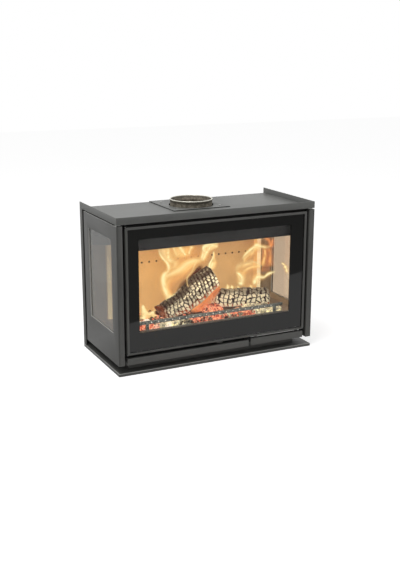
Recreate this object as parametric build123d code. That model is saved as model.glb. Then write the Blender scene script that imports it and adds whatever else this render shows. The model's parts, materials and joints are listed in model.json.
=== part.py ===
"""Three-sided fireplace insert: a wide steel firebox with a glass door in front and a fixed glass
in each side, on a base plate, under a shallow top tray with the flue collar.

Units are millimetres. +X runs to the right, +Y to the rear and +Z up. The origin is the centre
of the base plate's underside.
"""
import os
from math import atan2, degrees, hypot

from build123d import *

# Overall sizes
WIDTH = 776.0
DEPTH = 370.0
BASE_HEIGHT = 11.0
SHADOW_GAP = 27.0
BODY_HEIGHT = 489.5
TRAY_GAP = 3.9
TRAY_HEIGHT = 24.6

# Sheet and plate thicknesses, clearances and cuts
PANEL = 3.0
STEEL = 4.0
THIN = 2.0
FIT = 0.3
PIN_PLAY = 0.05
OVERRUN = 1.0

# Plinth under the body
PLINTH_SIDE_INSET = 53.0
PLINTH_END_INSET = 42.0

# Front posts and front frame
POST_WIDTH = 18.5
POST_PLAY = 0.5
FRAME_SET = 33.0
FIRE_SIDE_INSET = 64.0
FIRE_SILL_LIFT = 1.0
LINTEL_DROP = 97.5

# Firebox
SIDE_SETBACK = 12.0
CASING_GAP = 38.0
HEARTH_LIFT = 58.0
FIREBOX_DROP = 11.5

# Vermiculite lining
BRICK = 28.0
HEARTH_BRICK = 25.0
CORNER_WIDTH = 50.0
CORNER_SET = 15.0
BRICK_DROP = 117.5
BRICK_JOINT = 0.6
AIR_HOLE_RADIUS = 2.2
AIR_HOLE_PITCH = 29.8
AIR_HOLE_FIRST = 28.0
AIR_HOLE_LIFT = 195.5
AIR_HOLE_DEPTH = 12.0
STRIP_WIDTH = 18.0
STRIP_DEPTH = 26.0

# Side windows
WINDOW_FRONT_INSET = 51.0
WINDOW_REAR_GAP = 3.0
WINDOW_SILL_LIFT = 21.0
WINDOW_DROP = 53.5
SIDE_PANEL_INSET = 41.0
GLASS = 4.0
GLASS_LAP = 14.0
TAPE = 2.0
PANEL_TAPE = 1.0
TAPE_WIDTH = 10.0
CLIP_WIDTH = 14.0
CLIP_FOOT = 10.0
CLIPS_PER_EDGE = 3

# Baffles and air guide
BAFFLE = 25.0
BAFFLE_SET = 78.0
BAFFLE_RISE = 40.0
RAIL_WIDTH = 15.0
RAIL_HEIGHT = 8.0
DEFLECTOR_INSET = 32.0
DEFLECTOR_REACH = 7.0
DEFLECTOR_DROP = 20.0
DEFLECTOR_TAB = 30.0
AIR_GUIDE_LAP = 25.0
AIR_GUIDE_DEPTH = 20.0
AIR_GUIDE_HEIGHT = 45.0
AIR_GUIDE_RAISE = 12.0

# Flue
FLUE_RADIUS = 75.0
FLUE_WALL = 3.0
FLUE_INSET = 132.0
FLUE_RISE = 4.0
FLUE_FLANGE = 92.0
FLUE_FLANGE_THICK = 5.0
FLUE_BEAD = 1.5
FLUE_BEAD_HEIGHT = 6.0
FLANGE_SCREW_RADIUS = 4.0
FLANGE_SCREW_HEAD = 4.5

# Top tray and the plate round the flue
COVER_HALF = 113.0
COVER_REACH = 96.0
COVER_HOLE_GAP = 5.0
TRAY_CUT_INSET = 13.0
COVER_SCREW_X = 86.0
COVER_SCREW_REACH = 72.0
COVER_SCREW_RADIUS = 4.0
COVER_SCREW_HEAD = 2.0
TRAY_SPACER_RADIUS = 7.0

# Rear casing
CASING_SLOT_LENGTH = 60.0
CASING_SLOT_HEIGHT = 10.0
CASING_SLOT_PITCH = 84.0
CASING_SLOT_MARGIN = 93.0
CASING_SLOT_LIFT = 37.0
CASING_SLOT_DROP = 37.5
CASING_SIDE_GAP = 15.0
STANDOFF_RADIUS = 8.0
STANDOFF_INSET = 58.0
STANDOFF_LIFT = 82.0
STANDOFF_DROP = 87.5
SCREW_RADIUS = 2.5
SCREW_HEAD_RADIUS = 5.0
SCREW_LENGTH = 14.0
PANEL_SPACER_RADIUS = 6.0
PANEL_SPACER_INSET = 30.0

# Grate, ash pocket and ash pan
GRATE_HALF_X = 134.0
GRATE_END_INSET = 125.0
GRATE_RIM = 9.0
GRATE_LEDGE = 8.0
GRATE_BAR_HEIGHT = 9.0
GRATE_SLOT = 8.0
GRATE_SLOT_COUNT = 14
ASH_BOX_DEPTH = 32.0
ASH_PAN_HEIGHT = 25.0
ASH_PAN_GAP = 4.0
ASH_PAN_WALL = 1.5

# Log guard behind the door
GUARD_INSET = 16.0
GUARD_SET = 18.0
GUARD_BAR = 6.0
GUARD_HEIGHT = 12.0
GUARD_LIFT = 46.0
GUARD_RAIL_HEIGHT = 9.0
GUARD_RAIL_LIFT = 4.0
GUARD_LEG_INSET = 33.0
GUARD_LEG_WIDTH = 12.0
GUARD_FOOT = 7.0
GUARD_HOLE_RADIUS = 2.0
GUARD_HOLE_PITCH = 27.0

# Logs and embers
EMBER_INSET = 12.0
EMBER_SET = 8.0
EMBER_REAR_GAP = 2.0
EMBER_HEIGHT = 16.0
EMBER_SLOPE = 24.0
LEANING_START_SHARES = (-0.518, 0.05, 0.115)
LEANING_END_SHARES = (0.203, 0.24, 0.482)
LEANING_WIDTH = 84.0
LEANING_HEIGHT = 88.0
LYING_START_SHARES = (0.275, 0.51, 0.160)
LYING_END_SHARES = (0.99, 0.24, 0.115)
LYING_WIDTH = 78.0
LYING_HEIGHT = 74.0
LOG_TAPER_SHARE = 0.93
LOG_SECTION_SHARES = (
    (-0.50, -0.42), (-0.18, -0.50), (0.34, -0.44), (0.50, -0.12),
    (0.44, 0.30), (0.12, 0.50), (-0.30, 0.44), (-0.48, 0.06),
)

# Door
DOOR_GAP = 10.0
DOOR_LIFT = 35.0
DOOR_DROP = 6.5
DOOR_DEPTH = 29.0
LIP = 9.0
LIP_BOTTOM = 5.0
DOOR_WALL = 3.0
DOOR_OPEN_INSET = 1.0
DOOR_OPEN_LIFT = 72.0
DOOR_OPEN_DROP = 42.0
DOOR_TAPE_WIDTH = 3.0
CLIP_SEAT = 4.0
GLASS_PLAY = 0.5
ROPE_WIDTH = 15.4
DOOR_CLIP_LENGTH = 24.0
DOOR_CLIP_WIDTH = 16.0

# Door hinges
HINGE_INSET = 4.5
HINGE_SET = 12.6
HINGE_PIN = 3.0
HINGE_PIN_DEPTH = 14.0
HINGE_PLATE = 5.0
HINGE_PLATE_HALF = 4.5
HINGE_WASHER = 1.5

# Strip, handle and latch under the door
STRIP_FACE_HEIGHT = 23.5
STRIP_GAP = 8.5
STRIP_FOLD = 14.0
HANDLE_LENGTH = 223.0
HANDLE_INSET = 4.0
HANDLE_LIFT = 2.0
HANDLE_HEIGHT = 25.0
HANDLE_FOLD = 7.0
SHAFT_RADIUS = 3.0
SHAFT_SET = 13.0
SHAFT_DROP = 4.7
LUG_THICK = 5.0
LUG_REACH = 5.4
ARM_THICK = 4.0
ARM_EYE = 4.6
LUG_X_SHARES = (0.10, 0.90)
TONGUE_INSET = 14.0
TONGUE_LENGTH = 34.0
TONGUE_HEIGHT = 6.0
KEEPER_ROLLER = 4.0
KEEPER_HALF = 9.0
KEEPER_PLATE = 3.0

# Air control and outside-air inlet
LEVER_X = 4.0
LEVER_WIDTH = 24.0
LEVER_THICK = 4.0
LEVER_SET = 7.0
LEVER_TRAVEL = 55.0
LEVER_SLOT_PLAY = 1.2
DUCT_END = 54.0
DUCT_FRONT_GAP = 8.0
DUCT_REAR_GAP = 25.0
DUCT_HEIGHT = 21.9
VALVE_SLOT = 72.0
VALVE_SET = 15.0
VALVE_DEPTH = 36.0
DAMPER_THICK = 2.8
DAMPER_END = 11.0
DAMPER_LAP = 6.0
GUIDE_WIDTH = 3.0
GUIDE_HEIGHT = 2.6
INLET_RADIUS = 40.0
INLET_WALL = 1.5
INLET_SET = 55.0
INLET_FLANGE = 12.0
INLET_LIFT = 1.0

# Places worked out from the sizes above
HALF = WIDTH / 2
FRONT = -DEPTH / 2
REAR = DEPTH / 2
BODY_Z = BASE_HEIGHT + SHADOW_GAP
BODY_TOP = BODY_Z + BODY_HEIGHT
TRAY_Z = BODY_TOP + TRAY_GAP
TRAY_TOP = TRAY_Z + TRAY_HEIGHT
BOTTOM_TOP = BODY_Z + PANEL
FRAME_Y = FRONT + FRAME_SET
BOX_FRONT = FRAME_Y + STEEL
BOX_HALF = HALF - SIDE_SETBACK
BOX_INNER = BOX_HALF - STEEL
BOX_REAR = REAR - PANEL - CASING_GAP
BOX_BACK = BOX_REAR - STEEL
BOX_TOP = BODY_TOP - FIREBOX_DROP
HEARTH_FLOOR = BODY_Z + HEARTH_LIFT
FLOOR_TOP = HEARTH_FLOOR + STEEL
HEARTH_Z = FLOOR_TOP + HEARTH_BRICK
BRICK_FACE = BOX_BACK - BRICK
GRATE_HALF_Y = REAR - GRATE_END_INSET
BRICK_HALF = BOX_INNER - CORNER_WIDTH
BRICK_TOP = BODY_TOP - BRICK_DROP
CORNER_PLATE_Y = BRICK_FACE - CORNER_SET
FIRE_HALF = BOX_INNER - FIRE_SIDE_INSET
FIRE_SILL = HEARTH_Z + FIRE_SILL_LIFT
FIRE_LINTEL = BODY_TOP - LINTEL_DROP
WINDOW_FRONT = FRONT + WINDOW_FRONT_INSET
WINDOW_REAR = CORNER_PLATE_Y - WINDOW_REAR_GAP
WINDOW_SILL = HEARTH_Z + WINDOW_SILL_LIFT
WINDOW_TOP = BODY_TOP - WINDOW_DROP
SIDE_PANEL_REAR = REAR - SIDE_PANEL_INSET
BAFFLE_FRONT = BOX_FRONT + BAFFLE_SET
FLUE_Y = REAR - FLUE_INSET
GUARD_HALF = FIRE_HALF - GUARD_INSET
GUARD_Y = BOX_FRONT + GUARD_SET
GUARD_TOP = HEARTH_Z + GUARD_LIFT
EMBER_HALF = FIRE_HALF - EMBER_INSET
EMBER_FRONT = GUARD_Y + EMBER_SET
EMBER_REAR = BRICK_FACE - STRIP_DEPTH - EMBER_REAR_GAP
POST_RIGHT = HALF - PANEL - POST_PLAY
POST_LEFT = POST_RIGHT - POST_WIDTH
DOOR_HALF = POST_LEFT - DOOR_GAP
DOOR_Z = BODY_Z + DOOR_LIFT
DOOR_TOP = BODY_TOP - DOOR_DROP
DOOR_BACK = FRONT + DOOR_DEPTH
FLUE_TOP = TRAY_TOP + FLUE_RISE
TRAY_FLOOR = TRAY_Z + PANEL
COVER_TOP = TRAY_FLOOR + PANEL
COVER_FRONT = FLUE_Y - COVER_REACH
COVER_HOLE = FLUE_RADIUS + FLUE_WALL + COVER_HOLE_GAP
HINGE_X = -DOOR_HALF + HINGE_INSET
HINGE_Y = FRONT + HINGE_SET
DOOR_OPEN_HALF = FIRE_HALF - DOOR_OPEN_INSET
HANDLE_RIGHT = DOOR_HALF - HANDLE_INSET
HANDLE_LEFT = HANDLE_RIGHT - HANDLE_LENGTH
STRIP_RIGHT = HANDLE_LEFT - STRIP_GAP
TONGUE_X = HANDLE_RIGHT - TONGUE_INSET
DUCT_HALF = LEVER_TRAVEL * 2 + VALVE_SLOT / 2 + DUCT_END
DAMPER_HALF = LEVER_TRAVEL * 3 + VALVE_SLOT / 2 + DAMPER_END
DUCT_FRONT = BOX_FRONT + DUCT_FRONT_GAP
DUCT_REAR = BOX_BACK - DUCT_REAR_GAP
VALVE_FRONT = DUCT_FRONT + VALVE_SET
INLET_Y = DUCT_REAR - INLET_SET
DUCT_TOP = BOTTOM_TOP + DUCT_HEIGHT
DAMPER_Z = DUCT_TOP + FIT
LEVER_Z = DAMPER_Z + DAMPER_THICK
SHAFT_Y = FRONT + SHAFT_SET
SHAFT_HEIGHT = DOOR_Z - SHAFT_DROP

PIECES = {}


def block(xs, ys, zs):
    """A box between two places on each axis."""
    spans = (xs, ys, zs)
    size = [high - low for low, high in spans]
    middle = [(low + high) / 2 for low, high in spans]
    return Pos(*middle) * Box(*size)


def both(half):
    """The span from minus half to plus half."""
    return (-half, half)


def upright(x, y, zs, radius):
    """A round bar along Z between two heights."""
    low, high = zs
    return Pos(x, y, (low + high) / 2) * Cylinder(radius, high - low)


def crosswise(xs, y, z, radius):
    """A round bar along X between two places."""
    low, high = xs
    return Pos((low + high) / 2, y, z) * Rot(0, 90, 0) * Cylinder(radius, high - low)


def lengthwise(x, ys, z, radius):
    """A round bar along Y between two places."""
    low, high = ys
    return Pos(x, (low + high) / 2, z) * Rot(90, 0, 0) * Cylinder(radius, high - low)


def mirrored(shape):
    """The same piece on the left side."""
    return mirror(shape, about=Plane.YZ)


def facing_ring(xs, zs, open_xs, open_zs, ys):
    """A flat rectangular ring that faces the front."""
    low, high = ys
    hole = block(open_xs, (low - OVERRUN, high + OVERRUN), open_zs)
    return block(xs, ys, zs) - hole


def side_ring(ys, zs, open_ys, open_zs, xs):
    """A flat rectangular ring that faces sideways."""
    low, high = xs
    hole = block((low - OVERRUN, high + OVERRUN), open_ys, open_zs)
    return block(xs, ys, zs) - hole


def spread(low, high, count):
    """Evenly spaced places from low to high."""
    step = (high - low) / (count - 1)
    return [low + step * index for index in range(count)]


def group(shapes):
    """Separate solids that share one node."""
    return Compound(children=list(shapes))


def grown(span, amount):
    """A span made longer at both ends."""
    return (span[0] - amount, span[1] + amount)


def add(name, shape):
    """Keeps a piece under its node's name."""
    PIECES[name] = shape


def make_base():
    """Base plate: a folded pan that stands on its down-turned rims, with the inlet's hole."""
    plate = block(both(HALF), (FRONT, REAR), (0, BASE_HEIGHT))
    hollow = block(both(HALF - PANEL), (FRONT + PANEL, REAR - PANEL), (-OVERRUN, BASE_HEIGHT - PANEL))
    hole = upright(0, INLET_Y, (-OVERRUN, BASE_HEIGHT + OVERRUN), INLET_RADIUS + INLET_WALL + FIT)
    add("base_plate", plate - hollow - hole)

    outer_xs = both(HALF - PLINTH_SIDE_INSET)
    outer_ys = (FRONT + PLINTH_END_INSET, REAR - PLINTH_END_INSET)
    plinth_zs = (BASE_HEIGHT, BODY_Z)
    inside = block(grown(outer_xs, -PANEL), grown(outer_ys, -PANEL), grown(plinth_zs, OVERRUN))
    add("plinth_frame", block(outer_xs, outer_ys, plinth_zs) - inside)

    bottom = block(both(POST_RIGHT), (FRAME_Y, BOX_REAR), (BODY_Z, BOTTOM_TOP))
    vent = upright(0, INLET_Y, (BODY_Z - OVERRUN, BOTTOM_TOP + OVERRUN), INLET_RADIUS + INLET_WALL + FIT)
    add("body_bottom", bottom - vent)


def make_posts():
    """Front posts: channels folded from sheet, open to the rear, on the front frame."""
    zs = (BODY_Z, BODY_TOP)
    post = block((POST_LEFT, POST_RIGHT), (FRONT, FRAME_Y), zs)
    inside = block(
        (POST_LEFT + THIN, POST_RIGHT - THIN),
        (FRONT + THIN, FRAME_Y + OVERRUN),
        grown(zs, OVERRUN),
    )
    post = post - inside
    add("front_post_right", post)
    add("front_post_left", mirrored(post))


def make_front_frame():
    """Front frame: the plate that the door closes on, with the air lever's and the latch's slots."""
    frame = facing_ring(
        both(BOX_HALF), (BOTTOM_TOP, BODY_TOP),
        both(FIRE_HALF), (FIRE_SILL, FIRE_LINTEL),
        (FRAME_Y, BOX_FRONT),
    )
    lever_xs = (
        LEVER_X - LEVER_WIDTH / 2 - LEVER_TRAVEL - LEVER_SLOT_PLAY,
        LEVER_X + LEVER_WIDTH / 2 + LEVER_TRAVEL + LEVER_SLOT_PLAY,
    )
    lever_slot = block(
        lever_xs,
        (FRAME_Y - OVERRUN, BOX_FRONT + OVERRUN),
        (LEVER_Z - LEVER_SLOT_PLAY, LEVER_Z + LEVER_THICK + LEVER_SLOT_PLAY),
    )
    latch_slot = block(
        (TONGUE_X - ARM_THICK, TONGUE_X + ARM_THICK),
        (FRAME_Y - OVERRUN, BOX_FRONT + OVERRUN),
        (SHAFT_HEIGHT - TONGUE_LENGTH / 2, SHAFT_HEIGHT + TONGUE_HEIGHT / 2 + FIT),
    )
    add("front_frame", frame - lever_slot - latch_slot)


def make_firebox():
    """Firebox: two side plates with windows, a back, a top with the flue hole and a hearth floor."""
    side = side_ring(
        (BOX_FRONT, BOX_BACK), (BOTTOM_TOP, BOX_TOP - STEEL),
        (WINDOW_FRONT, WINDOW_REAR), (WINDOW_SILL, WINDOW_TOP),
        (BOX_INNER, BOX_HALF),
    )
    add("firebox_side_right", side)
    add("firebox_side_left", mirrored(side))
    add("firebox_back", block(both(BOX_HALF), (BOX_BACK, BOX_REAR), (BOTTOM_TOP, BOX_TOP)))

    top_zs = (BOX_TOP - STEEL, BOX_TOP)
    top = block(both(BOX_HALF), (BOX_FRONT, BOX_BACK), top_zs)
    add("firebox_top", top - upright(0, FLUE_Y, grown(top_zs, OVERRUN), FLUE_RADIUS + THIN))

    floor = block(both(BOX_INNER), (BOX_FRONT, BOX_BACK), (HEARTH_FLOOR, FLOOR_TOP))
    opening = block(
        both(GRATE_HALF_X - GRATE_LEDGE),
        both(GRATE_HALF_Y - GRATE_LEDGE),
        grown((HEARTH_FLOOR, FLOOR_TOP), OVERRUN),
    )
    add("hearth_floor", floor - opening)


def make_side_windows():
    """Side windows: a ceramic glass between two gaskets, held by the side panel and edge blocks."""
    open_ys = (WINDOW_FRONT, WINDOW_REAR)
    open_zs = (WINDOW_SILL, WINDOW_TOP)
    glass_out = HALF - PANEL - PANEL_TAPE
    glass_in = glass_out - GLASS
    tapes = []
    for xs in ((BOX_HALF, glass_in), (glass_out, HALF - PANEL)):
        tape = side_ring(
            grown(open_ys, TAPE_WIDTH), grown(open_zs, TAPE_WIDTH), open_ys, open_zs, xs)
        tapes.extend([tape, mirrored(tape)])
    add("side_gaskets", group(tapes))
    glass_ys = (BOX_FRONT, WINDOW_REAR + GLASS_LAP)
    glass_zs = grown(open_zs, GLASS_LAP)
    glass = block((glass_in, glass_out), glass_ys, glass_zs)
    add("side_glass_right", glass)
    add("side_glass_left", mirrored(glass))

    clips = []
    inset = CLIP_WIDTH * 2
    for y in spread(glass_ys[0] + inset, glass_ys[1] - inset, CLIPS_PER_EDGE):
        ys = grown((y, y), CLIP_WIDTH / 2)
        for edge, way in ((glass_zs[0], -1), (glass_zs[1], 1)):
            zs = sorted((edge + way * FIT, edge + way * CLIP_FOOT))
            clips.append(block((BOX_HALF, glass_out), ys, zs))
    add("side_glass_clips", group(clips + [mirrored(clip) for clip in clips]))


def make_side_panels():
    """Side panels: the outer sheets with the window opening, in front of the glass."""
    panel = side_ring(
        (FRONT, SIDE_PANEL_REAR), (BODY_Z, BODY_TOP),
        (WINDOW_FRONT, WINDOW_REAR), (WINDOW_SILL, WINDOW_TOP),
        (HALF - PANEL, HALF),
    )
    add("side_panel_right", panel)
    add("side_panel_left", mirrored(panel))


def make_lining():
    """Lining: back bricks with air holes, corner strips, rear corner plates and hearth bricks."""
    brick = block((BRICK_JOINT / 2, BRICK_HALF), (BRICK_FACE, BOX_BACK), (FLOOR_TOP, BRICK_TOP))
    row = BRICK_HALF - STRIP_WIDTH - AIR_HOLE_FIRST
    depth = (BRICK_FACE - OVERRUN, BRICK_FACE + AIR_HOLE_DEPTH)
    for index in range(int(row / AIR_HOLE_PITCH) + 1):
        x = AIR_HOLE_FIRST + AIR_HOLE_PITCH * index
        brick = brick - lengthwise(x, depth, HEARTH_Z + AIR_HOLE_LIFT, AIR_HOLE_RADIUS)
    add("back_brick_right", brick)
    add("back_brick_left", mirrored(brick))

    strip = block(
        (BRICK_HALF - STRIP_WIDTH, BRICK_HALF),
        (BRICK_FACE - STRIP_DEPTH, BRICK_FACE),
        (HEARTH_Z, BRICK_TOP),
    )
    add("corner_strips", group([strip, mirrored(strip)]))

    zs = (FLOOR_TOP, BOX_TOP - STEEL)
    face = block((BRICK_HALF, BOX_INNER), (CORNER_PLATE_Y, CORNER_PLATE_Y + PANEL), zs)
    fold = block((BRICK_HALF, BRICK_HALF + PANEL), (CORNER_PLATE_Y + PANEL, BOX_BACK), zs)
    corner = face + fold
    add("rear_corner_plates", group([corner, mirrored(corner)]))

    zs = (FLOOR_TOP, HEARTH_Z)
    grate_x = GRATE_HALF_X + FIT
    grate_y = GRATE_HALF_Y + FIT
    edge = BOX_INNER - FIT
    add("hearth_brick_front", block(both(edge), (BOX_FRONT, -grate_y), zs))
    rear = block(both(edge), (grate_y, CORNER_PLATE_Y - FIT), zs)
    tongue = block(both(BRICK_HALF - FIT), (CORNER_PLATE_Y - FIT, BRICK_FACE), zs)
    add("hearth_brick_rear", rear + tongue)
    side = block((grate_x, edge), both(grate_y), zs)
    add("hearth_bricks_side", group([side, mirrored(side)]))


def make_grate():
    """Grate: a cast rim on the floor's ledge with slots between its bars, over the ash pan."""
    zs = (FLOOR_TOP, HEARTH_Z)
    grate = block(both(GRATE_HALF_X), both(GRATE_HALF_Y), zs)
    under = block(
        both(GRATE_HALF_X - GRATE_RIM), both(GRATE_HALF_Y - GRATE_RIM),
        (FLOOR_TOP - OVERRUN, HEARTH_Z - GRATE_BAR_HEIGHT),
    )
    grate = grate - under
    end = GRATE_HALF_X - GRATE_RIM - GRATE_SLOT
    for x in spread(-end, end, GRATE_SLOT_COUNT):
        xs = grown((x, x), GRATE_SLOT / 2)
        ys = both(GRATE_HALF_Y - GRATE_RIM)
        grate = grate - block(xs, ys, (FLOOR_TOP, HEARTH_Z + OVERRUN))
    add("grate", grate)

    low = HEARTH_FLOOR - ASH_BOX_DEPTH
    box = block(both(GRATE_HALF_X + GRATE_LEDGE), both(GRATE_HALF_Y + GRATE_LEDGE), (low, HEARTH_FLOOR))
    inside = block(
        both(GRATE_HALF_X + GRATE_LEDGE - THIN), both(GRATE_HALF_Y + GRATE_LEDGE - THIN),
        (low + THIN, HEARTH_FLOOR + OVERRUN),
    )
    add("ash_box", box - inside)

    pan_x = GRATE_HALF_X - GRATE_LEDGE - ASH_PAN_GAP
    pan_y = GRATE_HALF_Y - GRATE_LEDGE - ASH_PAN_GAP
    pan_z = low + THIN
    pan = block(both(pan_x), both(pan_y), (pan_z, pan_z + ASH_PAN_HEIGHT))
    hollow = block(
        both(pan_x - ASH_PAN_WALL), both(pan_y - ASH_PAN_WALL),
        (pan_z + ASH_PAN_WALL, pan_z + ASH_PAN_HEIGHT + OVERRUN),
    )
    add("ash_pan", pan - hollow)


def sloped(xs, front, rear, lift, height):
    """A plate that rises towards the front, with upright ends."""
    slope = BAFFLE_RISE / (BOX_BACK - BAFFLE_FRONT)
    low_rear = BRICK_TOP + (BOX_BACK - rear) * slope + lift
    low_front = BRICK_TOP + (BOX_BACK - front) * slope + lift
    outline = Plane.YZ * Polyline(
        (rear, low_rear), (front, low_front),
        (front, low_front + height), (rear, low_rear + height),
        close=True,
    )
    return Pos(xs[0], 0, 0) * extrude(make_face(outline), xs[1] - xs[0], dir=(1, 0, 0))


def make_baffles():
    """Baffles: two sloping plates on rails, a steel deflector above them and the glass's air guide."""
    inner = (BRICK_JOINT / 2, BRICK_HALF - FIT)
    outer = (BRICK_JOINT / 2, BOX_INNER - FIT)
    plate = sloped(outer, BAFFLE_FRONT, CORNER_PLATE_Y - FIT, 0, BAFFLE)
    plate = plate + sloped(inner, CORNER_PLATE_Y - FIT, BOX_BACK, 0, BAFFLE)
    add("baffle_right", plate)
    add("baffle_left", mirrored(plate))

    rail_xs = (BOX_INNER - RAIL_WIDTH, BOX_INNER)
    rail = sloped(rail_xs, BAFFLE_FRONT, CORNER_PLATE_Y, -RAIL_HEIGHT, RAIL_HEIGHT)
    add("baffle_rails", group([rail, mirrored(rail)]))

    ceiling = BOX_TOP - STEEL
    low = ceiling - DEFLECTOR_DROP
    half = BOX_INNER - DEFLECTOR_INSET
    end = FLUE_Y + DEFLECTOR_REACH
    deflector = block(both(half), (BOX_FRONT, end), (low, low + PANEL))
    for x in (-half, half - DEFLECTOR_TAB):
        tab = block((x, x + DEFLECTOR_TAB), (end - PANEL, end), (low, ceiling))
        deflector = deflector + tab
    add("upper_deflector", deflector)

    low = FIRE_LINTEL + AIR_GUIDE_RAISE
    high = low + AIR_GUIDE_HEIGHT
    back = BOX_FRONT + AIR_GUIDE_DEPTH
    xs = both(FIRE_HALF + AIR_GUIDE_LAP)
    guide = block(xs, (back - THIN, back), (low, high))
    guide = guide + block(xs, (BOX_FRONT, back), (high - THIN, high))
    add("air_guide", guide)


def make_flue():
    """Flue collar: a flanged cast ring with a bead at its rim, screwed to the firebox top."""
    outer = FLUE_RADIUS + FLUE_WALL
    ring = upright(0, FLUE_Y, (BOX_TOP, FLUE_TOP), outer)
    ring = ring + upright(0, FLUE_Y, (BOX_TOP, BOX_TOP + FLUE_FLANGE_THICK), FLUE_FLANGE)
    ring = ring + upright(0, FLUE_Y, (FLUE_TOP - FLUE_BEAD_HEIGHT, FLUE_TOP), outer + FLUE_BEAD)
    ring = ring - upright(0, FLUE_Y, grown((BOX_TOP, FLUE_TOP), OVERRUN), FLUE_RADIUS)
    add("flue_collar", ring)

    screws = []
    seat = BOX_TOP + FLUE_FLANGE_THICK
    for spot in PolarLocations((outer + FLUE_FLANGE) / 2, 4, start_angle=45):
        at = spot.position
        screws.append(upright(at.X, FLUE_Y + at.Y, (seat, seat + FLANGE_SCREW_HEAD), FLANGE_SCREW_RADIUS))
    add("flange_screws", group(screws))


def make_top():
    """Top tray with its three upturned flanges, the plate round the flue and the spacers under it."""
    tray = block(both(HALF), (FRONT, REAR), (TRAY_Z, TRAY_TOP))
    inside = block(both(HALF - PANEL), (FRONT + PANEL, REAR + OVERRUN), (TRAY_FLOOR, TRAY_TOP + OVERRUN))
    cut = block(
        both(COVER_HALF - TRAY_CUT_INSET),
        (COVER_FRONT + TRAY_CUT_INSET, REAR - TRAY_CUT_INSET),
        grown((TRAY_Z, TRAY_FLOOR), OVERRUN),
    )
    add("top_tray", tray - inside - cut)

    cover = block(both(COVER_HALF), (COVER_FRONT, REAR), (TRAY_FLOOR, COVER_TOP))
    cover = cover - upright(0, FLUE_Y, grown((TRAY_FLOOR, COVER_TOP), OVERRUN), COVER_HOLE)
    add("flue_cover_plate", cover)


def make_rear_casing():
    """Rear casing: the heat shield behind the firebox, with two rows of air slots."""
    flange_y = SIDE_PANEL_REAR + CASING_SIDE_GAP
    casing = block(both(HALF), (flange_y, REAR), (BASE_HEIGHT, TRAY_Z))
    inside = block(
        both(HALF - PANEL), (flange_y - OVERRUN, REAR - PANEL),
        grown((BASE_HEIGHT, TRAY_Z), OVERRUN),
    )
    casing = casing - inside
    steps = int((HALF - CASING_SLOT_MARGIN) * 2 / CASING_SLOT_PITCH)
    end = CASING_SLOT_PITCH * steps / 2
    for x in spread(-end, end, steps + 1):
        for z in (BODY_Z + CASING_SLOT_LIFT, BODY_TOP - CASING_SLOT_DROP):
            casing = casing - block(
                grown((x, x), CASING_SLOT_LENGTH / 2),
                (REAR - PANEL - OVERRUN, REAR + OVERRUN),
                grown((z, z), CASING_SLOT_HEIGHT / 2),
            )
    for x, z in standoff_places():
        casing = casing - lengthwise(x, (REAR - PANEL - OVERRUN, REAR + OVERRUN), z, SCREW_HEAD_RADIUS + FIT)
    add("rear_casing", casing)


def standoff_places():
    """Where the rear casing is screwed to the firebox."""
    zs = (BODY_Z + STANDOFF_LIFT, BODY_TOP - STANDOFF_DROP)
    return [(x, z) for x in both(HALF - STANDOFF_INSET) for z in zs]


def cover_screw_places():
    """Where the plate round the flue is screwed to the tray."""
    ys = (FLUE_Y - COVER_SCREW_REACH + PANEL * 3, FLUE_Y + COVER_SCREW_REACH + PANEL * 3)
    return [(x, y) for x in both(COVER_SCREW_X) for y in ys]


def make_fasteners():
    """Spacer tubes between the firebox and its casings, and the casing screws."""
    tubes = []
    for x, z in standoff_places():
        tube = lengthwise(x, (BOX_REAR, REAR - PANEL), z, STANDOFF_RADIUS)
        tubes.append(tube - lengthwise(x, (REAR - PANEL - SCREW_LENGTH, REAR), z, SCREW_RADIUS + FIT))
    ys = (FRONT + FRAME_SET + PANEL_SPACER_INSET, SIDE_PANEL_REAR - PANEL_SPACER_INSET)
    zs = (BODY_Z + PANEL_SPACER_INSET * 2, BOX_TOP - STEEL - PANEL_SPACER_RADIUS)
    for y in ys:
        for z in zs:
            tube = crosswise((BOX_HALF, HALF - PANEL), y, z, PANEL_SPACER_RADIUS)
            tubes.extend([tube, mirrored(tube)])
    for x in both((POST_LEFT + POST_RIGHT) / 2):
        tubes.append(upright(x, (FRONT + FRAME_Y) / 2, (BODY_TOP, TRAY_Z), TRAY_SPACER_RADIUS + THIN))
    for x in both(HALF - PLINTH_SIDE_INSET * 2):
        for y in (FRAME_Y + PANEL_SPACER_INSET, BOX_BACK - PANEL_SPACER_INSET):
            tubes.append(upright(x, y, (BOX_TOP, TRAY_Z), TRAY_SPACER_RADIUS))
    add("spacer_tubes", group(tubes))

    screws = []
    for x, z in standoff_places():
        head = lengthwise(x, (REAR - PANEL, REAR), z, SCREW_HEAD_RADIUS)
        shank = lengthwise(x, (REAR - PANEL - SCREW_LENGTH, REAR - PANEL), z, SCREW_RADIUS)
        screws.append(head + shank)
    for x, y in cover_screw_places():
        screws.append(upright(x, y, (COVER_TOP, COVER_TOP + COVER_SCREW_HEAD), COVER_SCREW_RADIUS))
    add("casing_screws", group(screws))


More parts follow.
